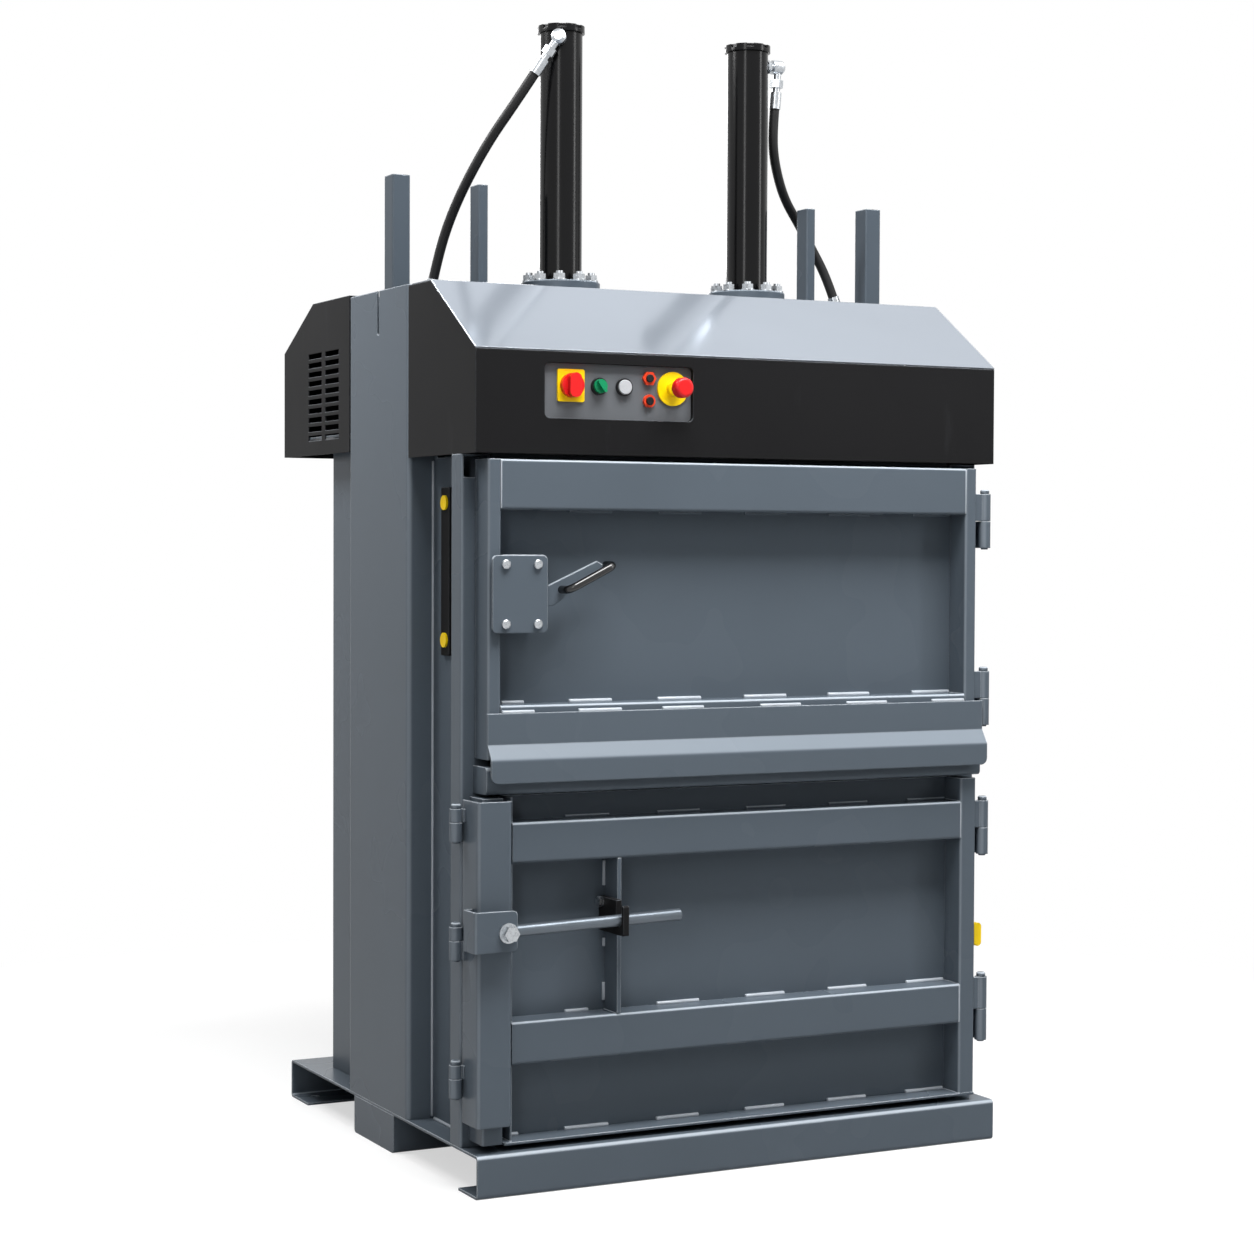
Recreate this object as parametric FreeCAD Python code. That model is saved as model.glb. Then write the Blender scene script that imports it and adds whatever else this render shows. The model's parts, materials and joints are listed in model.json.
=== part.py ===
"""Vertical recycling baler: a floor-standing press with two front doors and two hydraulic cylinders.

Lengths are in millimetres. X runs to the right, Y to the back and Z up.
The origin is at floor level, at the centre of the four anchor holes in the base.
"""

import FreeCAD, Part
import math
import os
from FreeCAD import Vector

os.makedirs("parts", exist_ok=True)

# Base
base_width = 1130.0
base_depth = 1000.0
base_height = 80.0
base_sheet = 5.0
base_bend = 8.0
front_flange = 88.0
rear_flange = 103.0
anchor_side_inset = 38.0
anchor_end_inset = 44.0
anchor_hole_radius = 9.0
skid_start = 409.0
skid_width = 213.0
skid_sheet = 5.0

# Columns and chamber walls
column_start = 338.0
column_width = 317.0
column_stand = 52.0
column_sheet = 4.0
column_bend = 10.0
slit_width = 12.0
slit_depth = 81.0
wall_sheet = 6.0
wall_depth = 885.0
post_start = 80.0
post_depth = 50.0
post_wall = 4.0
post_corner = 5.0
post_notch_height = 43.0
rail_start = 246.0
rail_width = 39.0
rail_stand = 6.0
rail_bottom = 980.0
rail_length = 320.0
rail_cap_radius = 14.0
rail_cap_stand = 4.0
rail_cap_inset = 29.5

# Doors
door_start = 18.0
door_sheet = 5.0
door_seal_gap = 2.0
section_wall = 4.0
section_corner = 5.0
lower_door_gap = 11.0
lower_door_height = 638.0
lower_door_left = 76.0
lower_door_right = 35.0
lower_stile_width = 36.5
lower_flange_left = 62.0
upper_beam_rise = 517.0
upper_beam_height = 75.0
middle_beam_rise = 147.0
middle_beam_height = 78.5
end_plate_sheet = 3.5
end_plate_setback = 8.0
stiffener_left = 291.0
stiffener_width = 8.0
beam_gap = 6.0
cross_beam_height = 51.0
cross_beam_left = 24.0
cross_beam_right = 26.0
cross_beam_bend = 9.0
upper_door_gap = 13.0
upper_door_height = 548.0
upper_door_left = 26.0
upper_door_right = 39.0
upper_stile_width = 26.0
top_rail_height = 92.0
bottom_rail_height = 99.0
apron_sheet = 5.0
apron_left = 24.0
apron_right = 25.0
apron_top_rise = 85.0
apron_fold_rise = 26.0
apron_fold_height = 27.0
apron_step = 18.0
apron_drop = 42.0
apron_bend = 6.0
apron_corner = 14.0

# Hinges
knuckle_radius = 12.0
pin_radius = 7.0
pin_head_radius = 9.0
pin_head_height = 8.0
pin_head_round = 2.0
pin_tail = 3.0
running_clearance = 0.05
knuckle_gap = 0.6
hinge_leaf = 6.0
right_hinge_inset = 11.0
right_hinge_start = 31.0
left_hinge_stand = 13.0
left_hinge_start = 72.0
left_leaf = 4.0
left_leaf_reach = 14.0
lower_hinge_rise = 107.0
lower_hinge_drop = 155.0
upper_hinge_rise = 35.0
upper_hinge_drop = 158.0
upper_knuckle = 54.0
lower_long_knuckle = 64.0
swing_hinge_rise = 46.0
swing_hinge_drop = 77.0
swing_hinge_offset = 3.0
swing_long_knuckle = 36.0
swing_short_knuckle = 25.0

# Swing post, its bracket, bolt and lever
channel_width = 68.0
channel_depth = 70.0
channel_lip = 16.0
channel_sheet = 4.0
channel_bend = 7.0
channel_rise = 50.0
channel_drop = 4.5
core_left = 17.0
core_width = 42.0
core_rise = 14.0
core_rib = 6.0
bracket_stand = 24.0
bracket_sheet = 4.0
bracket_left = 18.0
bracket_right = 66.0
bracket_return = 28.0
bracket_rise = 374.0
bracket_height = 75.0
bracket_corner = 9.0
bolt_from_left = 47.0
bolt_rise = 409.0
bolt_radius = 8.0
bolt_hole_clearance = 0.3
bolt_head_flats = 26.0
bolt_head_height = 16.0
washer_radius = 18.5
washer_height = 4.0
bush_radius = 13.5
nut_flats = 24.0
nut_height = 10.0
set_screw_radius = 4.0
set_screw_inset = 11.0
lever_radius = 11.0
lever_start = 23.0
lever_end = 361.0
lever_slope = 1.7
lever_chamfer = 2.0
clip_sheet = 12.0
clip_lip = 7.5
clip_drop = 28.0
clip_rise = 36.0
clip_lip_rise = 28.0
clip_clearance = 0.5
clip_bolt_setback = 14.0
clip_bolt_inset = 10.0
clip_bolt_radius = 6.0
clip_head_flats = 18.0
clip_head_height = 9.0

# Latch on the upper door
latch_box_left = 53.0
latch_box_width = 81.0
latch_box_drop = 315.0
latch_box_height = 141.0
latch_box_wall = 4.0
latch_box_front = 12.0
latch_cover_left = 30.0
latch_cover_width = 110.0
latch_cover_overlap = 2.0
latch_cover_height = 142.0
latch_cover_sheet = 6.0
latch_cover_corner = 10.0
latch_screw_inset_x = 20.0
latch_screw_inset_z = 16.5
latch_screw_left = 26.0
latch_screw_radius = 8.5
latch_screw_height = 6.0
latch_boss_radius = 3.5
latch_pivot_left = 84.0
latch_pivot_rise = 68.0
latch_pin_radius = 8.0
latch_hub_radius = 18.0
latch_lever_start = 21.0
latch_lever_sheet = 8.0
latch_lever_half_width = 21.0
latch_lever_straight = 74.0
latch_lever_arm = 108.0
latch_lever_angle = 26.5
grip_radius = 7.5
grip_stand = 36.0
grip_bend = 15.0
grip_start = 91.0
grip_length = 101.5
grip_rise = 9.0

# Covers at the top
cover_gap = 10.0
cover_sheet = 2.5
cover_start = 17.0
cover_front_height = 191.5
slope_depth = 212.0
slope_rise = 139.5
slope_sheet = 2.0
rear_cover_reach = 1046.0
rear_cover_drop = 21.0
rear_cover_crest = 868.0
rear_cover_eave = 93.0
rear_cover_above_head = 5.0
vent_rows = 10
vent_pitch = 19.0
vent_height = 11.0
vent_length = 80.0
vent_first_start = 715.0
vent_column_pitch = 100.0
vent_rise = 30.0

# Control panel
panel_left = 138.0
panel_width = 308.0
panel_rise = 67.0
panel_height = 101.0
panel_corner = 10.0
panel_recess = 10.0
panel_sheet = 3.0
panel_margin = 8.0
rim_sheet = 2.5
control_rise = 60.5
control_clearance = 0.3
bezel_height = 6.0
isolator_left = 28.5
isolator_width = 55.0
isolator_height = 60.0
isolator_sheet = 4.0
isolator_knob_radius = 22.5
isolator_knob_disc = 10.0
isolator_grip = 12.0
isolator_grip_width = 24.0
selector_at = 114.0
selector_bezel_radius = 16.0
selector_knob_radius = 13.0
selector_knob_disc = 6.0
selector_grip = 8.0
selector_grip_width = 7.0
white_button_at = 166.0
white_bezel_radius = 16.5
white_cap_radius = 13.5
red_button_at = 218.0
red_button_spread = 42.0
red_button_drop = 3.0
red_bezel_radius = 12.0
red_cap_radius = 7.5
cap_height = 6.0
cap_proud = 3.5
estop_at = 268.0
estop_disc_radius = 32.0
estop_disc_height = 4.0
estop_stem_radius = 9.0
estop_stem_length = 37.0
estop_head_radius = 19.0
estop_head_height = 20.0
estop_head_start = 31.0
estop_collar_radius = 14.0
estop_collar_height = 12.0
estop_head_round = 7.0

# Cross-head, cylinders and ram
head_start = 320.0
head_depth = 330.0
head_sheet = 12.0
head_height = 125.0
head_bend = 18.0
cylinder_start = 403.0
cylinder_spread = 426.0
cylinder_radius = 42.5
cylinder_bore_radius = 31.5
cylinder_length = 493.0
cap_radius = 47.0
cap_top = 14.0
cap_notches = 8
cap_notch_width = 14.0
cap_notch_depth = 4.0
flange_radius = 79.0
flange_height = 25.0
flange_nose_radius = 39.0
flange_nose_length = 25.0
flange_hole_clearance = 1.0
flange_bolt_circle = 65.0
flange_bolts_each = 10
flange_bolt_turn = 27.0
flange_bolt_flats = 22.0
flange_nut_height = 10.0
flange_washer_radius = 13.5
flange_washer_height = 2.5
flange_stud_tip = 5.0
flange_stud_radius = 7.0
rod_radius = 20.0
piston_height = 35.0
piston_gap = 10.0
ram_stroke = 440.0
ram_wall_gap = 6.0
ram_door_gap = 12.0
ram_back_gap = 9.0
ram_plate_sheet = 8.0
ram_below_cover = 5.0
ram_beam_start = 360.0
ram_beam_depth = 125.0
ram_beam_height = 82.0
ram_beam_wall = 8.0
ram_rib_height = 45.0
ram_rib_sheet = 10.0
ram_rib_end = 5.0
outer_bar_gap = 1.5
outer_bar_width = 37.0
outer_bar_start = 434.0
outer_bar_depth = 45.0
inner_bar_left = 179.0
inner_bar_width = 21.0
inner_bar_start = 415.0
inner_bar_depth = 43.0
outer_bar_above_head = 222.0
inner_bar_above_head = 211.0
bar_wall = 3.0
bar_corner = 3.5
bar_clearance = 3.0
arm_clearance = 7.0
arm_inset = 2.0
slot_end_clearance = 25.0

# Hydraulics
hose_radius = 10.0
fitting_head_radius = 14.5
fitting_head_length = 27.0
fitting_head_round = 6.0
fitting_length = 86.0
ferrule_radius = 12.0
ferrule_length = 34.0
swivel_gap = 10.0
hex_flats = 24.0
hex_length = 16.0
port_nut_length = 7.0
neck_radius = 8.0
union_hole_radius = 9.0
union_nut_flats = 27.0
union_nut_height = 8.0
pipe_radius = 6.0
pipe_drop = 53.0
pipe_bend = 30.0
shelf_sheet = 4.0
shelf_side_gap = 0.5
shelf_clearance = 7.0
tank_left = 640.0
tank_width = 360.0
tank_depth = 260.0
tank_height = 160.0
tank_corner = 18.0
motor_left = 250.0
motor_length = 250.0
motor_radius = 72.0
motor_foot = 14.0
motor_fin_count = 12
motor_fin_height = 6.0
motor_fin_width = 5.0
motor_bell = 20.0
pump_length = 140.0
pump_radius = 45.0
valve_left = 760.0
valve_width = 90.0
valve_setback = 95.0
valve_depth = 70.0
valve_height = 55.0
solenoid_radius = 17.0
solenoid_length = 60.0

# Door switch on the right post
switch_right = 1.0
switch_width = 17.0
switch_start = 45.0
switch_rise = 305.0
switch_height = 47.0
switch_corner = 8.0

# Levels and edges that follow from the sizes above
left = -base_width / 2
right = base_width / 2
front = -base_depth / 2
rear = base_depth / 2
lower_door_bottom = base_height + lower_door_gap
lower_door_top = lower_door_bottom + lower_door_height
cross_beam_bottom = lower_door_top + beam_gap
cross_beam_top = cross_beam_bottom + cross_beam_height
upper_door_bottom = cross_beam_top + upper_door_gap
upper_door_top = upper_door_bottom + upper_door_height
cover_bottom = upper_door_top + cover_gap
slope_foot = cover_bottom + cover_front_height
slope_top = slope_foot + slope_rise
head_top = slope_top + 1.0
head_bottom = head_top - head_height
door_front = front + door_start
post_front = front + post_start
door_back = post_front - door_seal_gap
panel_front = door_back - door_sheet
column_front = front + column_start
column_rear = column_front + column_width
wall_left = left + column_stand
chamber_left = wall_left + wall_sheet
chamber_right = -chamber_left
wall_front = post_front + post_depth
wall_rear = front + wall_depth
head_front = front + head_start
head_rear = head_front + head_depth
right_hinge_x = right - right_hinge_inset
right_hinge_y = front + right_hinge_start
left_hinge_x = left - left_hinge_stand
left_hinge_y = front + left_hinge_start
lower_left = left + lower_door_left
lower_right = right - lower_door_right
upper_left = left + upper_door_left
upper_right = right - upper_door_right
core_x = left + core_left
channel_bottom = base_height + channel_rise
channel_top = lower_door_top - channel_drop
core_bottom = base_height + core_rise
bolt_x = left + bolt_from_left
bolt_z = base_height + bolt_rise
bracket_front = front - bracket_stand - bracket_sheet
lever_y = front - bracket_stand / 2
ram_bottom = cover_bottom - ram_below_cover
ram_beam_bottom = ram_bottom + ram_plate_sheet
ram_beam_top = ram_beam_bottom + ram_beam_height
cylinder_y = front + cylinder_start
cylinder_xs = [-cylinder_spread / 2, cylinder_spread / 2]
cylinder_bottom = head_top + flange_height
cylinder_top = cylinder_bottom + cylinder_length
shelf_bottom = ram_beam_bottom + ram_rib_height + shelf_clearance
shelf_top = shelf_bottom + shelf_sheet
pack_middle = (column_rear + front + rear_cover_reach) / 2


def box(x0, x1, y0, y1, z0, z1):
    """Block between two corners."""
    return Part.makeBox(x1 - x0, y1 - y0, z1 - z0, Vector(x0, y0, z0))


def rod(start, direction, radius, length):
    """Round bar from a start point along a direction."""
    return Part.makeCylinder(radius, length, start, direction)


def hex_bar(start, direction, flats, length):
    """Hexagonal bar from a start point along a direction."""
    corner = flats / math.sqrt(3)
    points = [Vector(corner * math.cos(math.radians(60 * i)), corner * math.sin(math.radians(60 * i)), 0)
              for i in range(6)]
    bar = Part.Face(Part.makePolygon(points + points[:1])).extrude(Vector(0, 0, length))
    bar.Placement = FreeCAD.Placement(start, FreeCAD.Rotation(Vector(0, 0, 1), direction))
    return bar


def plate(points, thickness):
    """Flat plate with straight edges from its outline and the vector of its thickness."""
    return Part.Face(Part.makePolygon(points + points[:1])).extrude(thickness)


def long_edges(shape, direction, choose):
    """Straight edges along a direction whose middle point passes a test."""
    found = []
    for edge in shape.Edges:
        ends = [vertex.Point for vertex in edge.Vertexes]
        if len(ends) == 2 and edge.Curve.TypeId == "Part::GeomLine":
            along = (ends[1] - ends[0]).normalize()
            if abs(abs(along.dot(direction)) - 1) < 1e-6 and choose((ends[0] + ends[1]) * 0.5):
                found.append(edge)
    return found


def rounded(shape, direction, radius, choose=lambda middle: True):
    """The shape with its edges along a direction rounded."""
    return shape.makeFillet(radius, long_edges(shape, direction, choose))


def bent_path(points, radii):
    """Straight runs joined by tangent arcs, with one radius for each inner point."""
    edges = []
    start = points[0]
    for before, corner, after, radius in zip(points, points[1:], points[2:], radii):
        towards = (before - corner).normalize()
        away = (after - corner).normalize()
        half = towards.getAngle(away) / 2
        cut = radius / math.tan(half)
        middle = corner + (towards + away).normalize() * (radius / math.sin(half) - radius)
        arc_start = corner + towards * cut
        arc_end = corner + away * cut
        edges.append(Part.LineSegment(start, arc_start).toShape())
        edges.append(Part.Arc(arc_start, middle, arc_end).toShape())
        start = arc_end
    edges.append(Part.LineSegment(start, points[-1]).toShape())
    return Part.Wire(edges)


def offset_strip(outline, thickness):
    """Face between an open outline and the same outline moved sideways."""
    return outline.makeOffset2D(thickness, 0, True, True, False)


def folded(points, thickness, bend, length):
    """Sheet folded along the outline of its outer face and drawn out by a vector."""
    outline = bent_path(points, [bend] * (len(points) - 2))
    strips = [offset_strip(outline, side * thickness) for side in (1, -1)]
    return min(strips, key=lambda strip: strip.Area).extrude(length)


def tube_along(points, radii, radius):
    """Round bar swept along straight runs and tangent arcs."""
    path = bent_path(points, radii)
    first = Part.Wire([Part.makeCircle(radius, points[0], points[1] - points[0])])
    return path.makePipeShell([first], True, False)


def mirrored(shape):
    """The same piece on the other side of the machine."""
    return shape.mirror(Vector(0, 0, 0), Vector(1, 0, 0))


def both(shape):
    """A piece and its mirror image, as two solids."""
    return Part.makeCompound([shape, mirrored(shape)])


def open_section(x0, x1, y0, y1, z0, z1, along):
    """Closed-ended section, open at the back, with rounded long edges at the front."""
    outer = rounded(box(x0, x1, y0, y1, z0, z1), along, section_corner, lambda middle: middle.y < y0 + 1)
    w = section_wall
    return outer.cut(box(x0 + w, x1 - w, y0 + w, y1 + w, z0 + w, z1 - w))


def save(name, shape):
    """Write one piece, or one group of like pieces."""
    shape.exportStep("parts/" + name + ".step")


X = Vector(1, 0, 0)
Y = Vector(0, 1, 0)
Z = Vector(0, 0, 1)


def make_base():
    """One folded plate with a channel at the front and the back, and a skid under its middle."""
    inside = base_height - base_sheet
    profile = [Vector(left, front + front_flange, 0), Vector(left, front, 0), Vector(left, front, base_height),
               Vector(left, rear, base_height), Vector(left, rear, 0), Vector(left, rear - rear_flange, 0)]
    base = folded(profile, base_sheet, base_bend, X * base_width)
    for x in (left + anchor_side_inset, right - anchor_side_inset):
        for y in (front + anchor_end_inset, rear - anchor_end_inset):
            base = base.cut(rod(Vector(x, y, -1), Z, anchor_hole_radius, base_sheet + 2))
    save("base_frame", base)

    start = front + skid_start
    end = start + skid_width
    tray = [Vector(left, start, inside), Vector(left, start, 0), Vector(left, end, 0), Vector(left, end, inside)]
    skid = folded(tray, skid_sheet, base_bend, X * base_width)
    outline = rounded(box(left, left + skid_sheet, start, end, 0, inside), X, base_bend,
                      lambda middle: middle.z < 1)
    skid = skid.fuse([outline, mirrored(outline)]).removeSplitter()
    save("centre_skid", skid)


def make_frame():
    """Columns, chamber walls, corner posts and the beam between the doors."""
    reach = left + column_stand
    profile = [Vector(reach, column_front, base_height), Vector(left, column_front, base_height),
               Vector(left, column_rear, base_height), Vector(reach, column_rear, base_height)]
    column = folded(profile, column_sheet, column_bend, Z * (head_top - base_height))
    middle = (column_front + column_rear) / 2
    slit_foot = head_top - slit_depth
    slit = box(left - 1, left + column_sheet + 1, middle - slit_width / 2, middle + slit_width / 2,
               slit_foot, head_top + 1)
    slit_end = rod(Vector(left - 1, middle, slit_foot), X, slit_width / 2, column_sheet + 2)
    save("columns", both(column.cut([slit, slit_end])))

    outline = [(wall_front, base_height), (wall_rear, base_height), (wall_rear, shelf_bottom),
               (column_rear, shelf_bottom), (column_rear, head_top - head_sheet),
               (head_front, head_top - head_sheet), (head_front, cover_bottom), (wall_front, cover_bottom)]
    wall = plate([Vector(wall_left, y, z) for y, z in outline], X * wall_sheet)
    slot_front = front + outer_bar_start - arm_clearance
    slot_rear = front + outer_bar_start + outer_bar_depth + arm_clearance
    slot = box(wall_left - 1, chamber_left + 1, slot_front, slot_rear,
               ram_bottom - ram_stroke - slot_end_clearance, ram_beam_top + slot_end_clearance)
    slot = rounded(slot, X, (slot_rear - slot_front) / 2 - 1)
    wall = wall.cut(slot)
    back = box(chamber_left, chamber_right, wall_rear - wall_sheet, wall_rear, base_height, shelf_bottom)
    save("chamber_walls", Part.makeCompound([wall, mirrored(wall), back]))

    post = rounded(box(left, chamber_left, post_front, wall_front, base_height, cover_bottom), Z, post_corner)
    notch = box(left + post_wall, chamber_left + 1, post_front - 1, post_front + post_wall + 1,
                cover_bottom - post_notch_height, cover_bottom + 1)
    hollow = box(left + post_wall, chamber_left - post_wall, post_front + post_wall, wall_front - post_wall,
                 base_height - 1, cover_bottom - post_wall)
    save("front_posts", both(post.cut([hollow, notch])))

    beam_left = left + cross_beam_left
    beam_right = right - cross_beam_right
    profile = [Vector(beam_left, post_front, cross_beam_top), Vector(beam_left, door_front, cross_beam_top),
               Vector(beam_left, door_front, cross_beam_bottom), Vector(beam_left, post_front, cross_beam_bottom)]
    beam = folded(profile, base_sheet, cross_beam_bend, X * (beam_right - beam_left))
    cap = rounded(box(beam_left, beam_left + base_sheet, door_front, post_front, cross_beam_bottom, cross_beam_top),
                  X, cross_beam_bend, lambda middle: middle.y < door_front + 1)
    far_cap = cap.translated(X * (beam_right - beam_left - base_sheet))
    save("mid_cross_beam", beam.fuse([cap, far_cap]).removeSplitter())

    rail_y = front + rail_start
    rail = box(wall_left - rail_stand, wall_left, rail_y, rail_y + rail_width, rail_bottom, rail_bottom + rail_length)
    save("side_rail", rounded(rail, X, 4.0))
    caps = []
    for z in (rail_bottom + rail_cap_inset, rail_bottom + rail_length - rail_cap_inset):
        foot = Vector(wall_left - rail_stand - rail_cap_stand, rail_y + rail_width / 2, z)
        caps.append(rod(foot, X, rail_cap_radius, rail_cap_stand))
    save("side_rail_caps", Part.makeCompound(caps))

    switch_x = right - switch_right
    switch = box(switch_x - switch_width, switch_x, front + switch_start, post_front,
                 base_height + switch_rise, base_height + switch_rise + switch_height)
    save("door_switch", rounded(switch, Y, switch_corner))


def make_cross_head():
    """Folded top beam between the columns, with bores for the cylinders, bars and hose unions."""
    profile = [Vector(wall_left, head_rear, head_bottom), Vector(wall_left, head_rear, head_top),
               Vector(wall_left, head_front, head_top), Vector(wall_left, head_front, head_bottom)]
    head = folded(profile, head_sheet, head_bend, X * (-2 * wall_left))
    notch = box(wall_left - 1, chamber_left, head_front - 1, head_rear + 1, head_bottom - 1, head_top - head_sheet)
    cutters = [notch, mirrored(notch)]
    for x in cylinder_xs:
        foot = Vector(x, cylinder_y, head_bottom)
        cutters.append(rod(foot, Z, flange_nose_radius + flange_hole_clearance, head_height + 1))
    bar_x = left + inner_bar_left
    bar_y = front + inner_bar_start
    opening = box(bar_x - bar_clearance, bar_x + inner_bar_width + bar_clearance, bar_y - bar_clearance,
                  bar_y + inner_bar_depth + bar_clearance, head_bottom, head_top + 1)
    cutters += [opening, mirrored(opening)]
    for union in (union_foot(left_route), union_foot(right_route)):
        cutters.append(rod(Vector(union.x, union.y, head_bottom), Z, union_hole_radius, head_height + 1))
        passage = Vector(union.x, head_rear - head_sheet - 1, head_top - head_sheet - pipe_drop)
        cutters.append(rod(passage, Y, union_hole_radius, head_sheet + 2))
    save("top_cross_head", head.cut(cutters))


def make_hinges():
    """Hinge knuckles with their leaves, and the pins, for both doors and the swing post."""
    fixed = []
    pins = []
    moving = {"upper_door_knuckles": [], "lower_door_knuckles": [], "swing_knuckles": []}

    def knuckle(x, y, bottom, top, bore, leaf):
        foot = Vector(x, y, bottom)
        barrel = rod(foot, Z, knuckle_radius, top - bottom).fuse(leaf)
        return barrel.cut(rod(foot - Z, Z, bore, top - bottom + 2)).removeSplitter()

    def pin(x, y, bottom, top):
        shank = rod(Vector(x, y, bottom - pin_tail), Z, pin_radius, top - bottom + pin_tail)
        head = rod(Vector(x, y, top), Z, pin_head_radius, pin_head_height)
        head = head.makeChamfer(pin_head_round, [edge for edge in head.Edges if edge.BoundBox.ZMin > top + 1
                                                 and edge.Curve.TypeId == "Part::GeomCircle"])
        return shank.fuse(head).removeSplitter()

    rows = [("upper_door_knuckles", upper_right, ((upper_door_bottom + upper_hinge_rise, upper_knuckle),
                                                  (upper_door_top - upper_hinge_drop, upper_knuckle))),
            ("lower_door_knuckles", lower_right, ((lower_door_bottom + lower_hinge_rise, lower_long_knuckle),
                                                  (lower_door_top - lower_hinge_drop, upper_knuckle)))]
    for name, edge_x, hinges in rows:
        for low, length in hinges:
            joint = low + length
            top = joint + length
            post_leaf = box(right_hinge_x - hinge_leaf / 2, right_hinge_x + hinge_leaf / 2, right_hinge_y,
                            post_front, low, joint - knuckle_gap)
            door_leaf = box(edge_x, right_hinge_x, right_hinge_y - hinge_leaf, right_hinge_y, joint, top)
            fixed.append(knuckle(right_hinge_x, right_hinge_y, low, joint - knuckle_gap, pin_radius, post_leaf))
            moving[name].append(knuckle(right_hinge_x, right_hinge_y, joint, top,
                                        pin_radius + running_clearance, door_leaf))
            pins.append(pin(right_hinge_x, right_hinge_y, low, top + knuckle_gap))

    middle = (channel_bottom + channel_top) / 2 + swing_hinge_offset
    places = ((channel_bottom + swing_hinge_rise, True), (middle, False), (channel_top - swing_hinge_drop, True))
    for low, post_is_low in places:
        joint = low + swing_long_knuckle
        top = joint + swing_short_knuckle
        spans = [(low, joint - knuckle_gap), (joint, top)]
        post_span = spans[0] if post_is_low else spans[1]
        channel_span = spans[1] if post_is_low else spans[0]
        post_leaf = box(left - left_leaf, left, left_hinge_y, post_front + left_leaf_reach, *post_span)
        channel_leaf = box(left - left_leaf, left, left_hinge_y - left_leaf_reach, left_hinge_y, *channel_span)
        fixed.append(knuckle(left_hinge_x, left_hinge_y, *post_span, pin_radius, post_leaf))
        moving["swing_knuckles"].append(knuckle(left_hinge_x, left_hinge_y, *channel_span,
                                                pin_radius + running_clearance, channel_leaf))
        pins.append(pin(left_hinge_x, left_hinge_y, low, top + (knuckle_gap if post_is_low else 0)))

    save("frame_knuckles", Part.makeCompound(fixed))
    save("hinge_pins", Part.makeCompound(pins))
    for name, knuckles in moving.items():
        save(name, Part.makeCompound(knuckles))


def make_upper_door():
    """Framed door over the loading opening, with the stepped apron at its foot."""
    inner_left = upper_left + upper_stile_width
    inner_right = upper_right - upper_stile_width
    members = [
        open_section(upper_left, inner_left, door_front, panel_front, upper_door_bottom, upper_door_top, Z),
        open_section(inner_right, upper_right, door_front, panel_front, upper_door_bottom, upper_door_top, Z),
        open_section(inner_left, inner_right, door_front, panel_front, upper_door_top - top_rail_height,
                     upper_door_top, X),
        open_section(inner_left, inner_right, door_front, panel_front, upper_door_bottom,
                     upper_door_bottom + bottom_rail_height, X)]
    save("upper_door_frame", Part.makeCompound(members))
    save("upper_door_panel", box(upper_left, upper_right, panel_front, door_back, upper_door_bottom, upper_door_top))

    x0 = left + apron_left
    x1 = right - apron_right
    top = upper_door_bottom + apron_top_rise
    fold = upper_door_bottom + apron_fold_rise
    step = fold - apron_fold_height
    bottom = upper_door_bottom - apron_drop
    step_front = door_front - apron_step
    profile = [Vector(x0, door_front, top), Vector(x0, door_front, fold), Vector(x0, step_front, step),
               Vector(x0, step_front, bottom)]
    outline = bent_path(profile, [apron_bend] * 2)
    apron = offset_strip(outline, apron_sheet).extrude(X * (x1 - x0))
    apron = rounded(apron, Y, apron_corner, lambda middle: middle.z < bottom + 1)
    save("upper_door_apron", apron)


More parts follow.
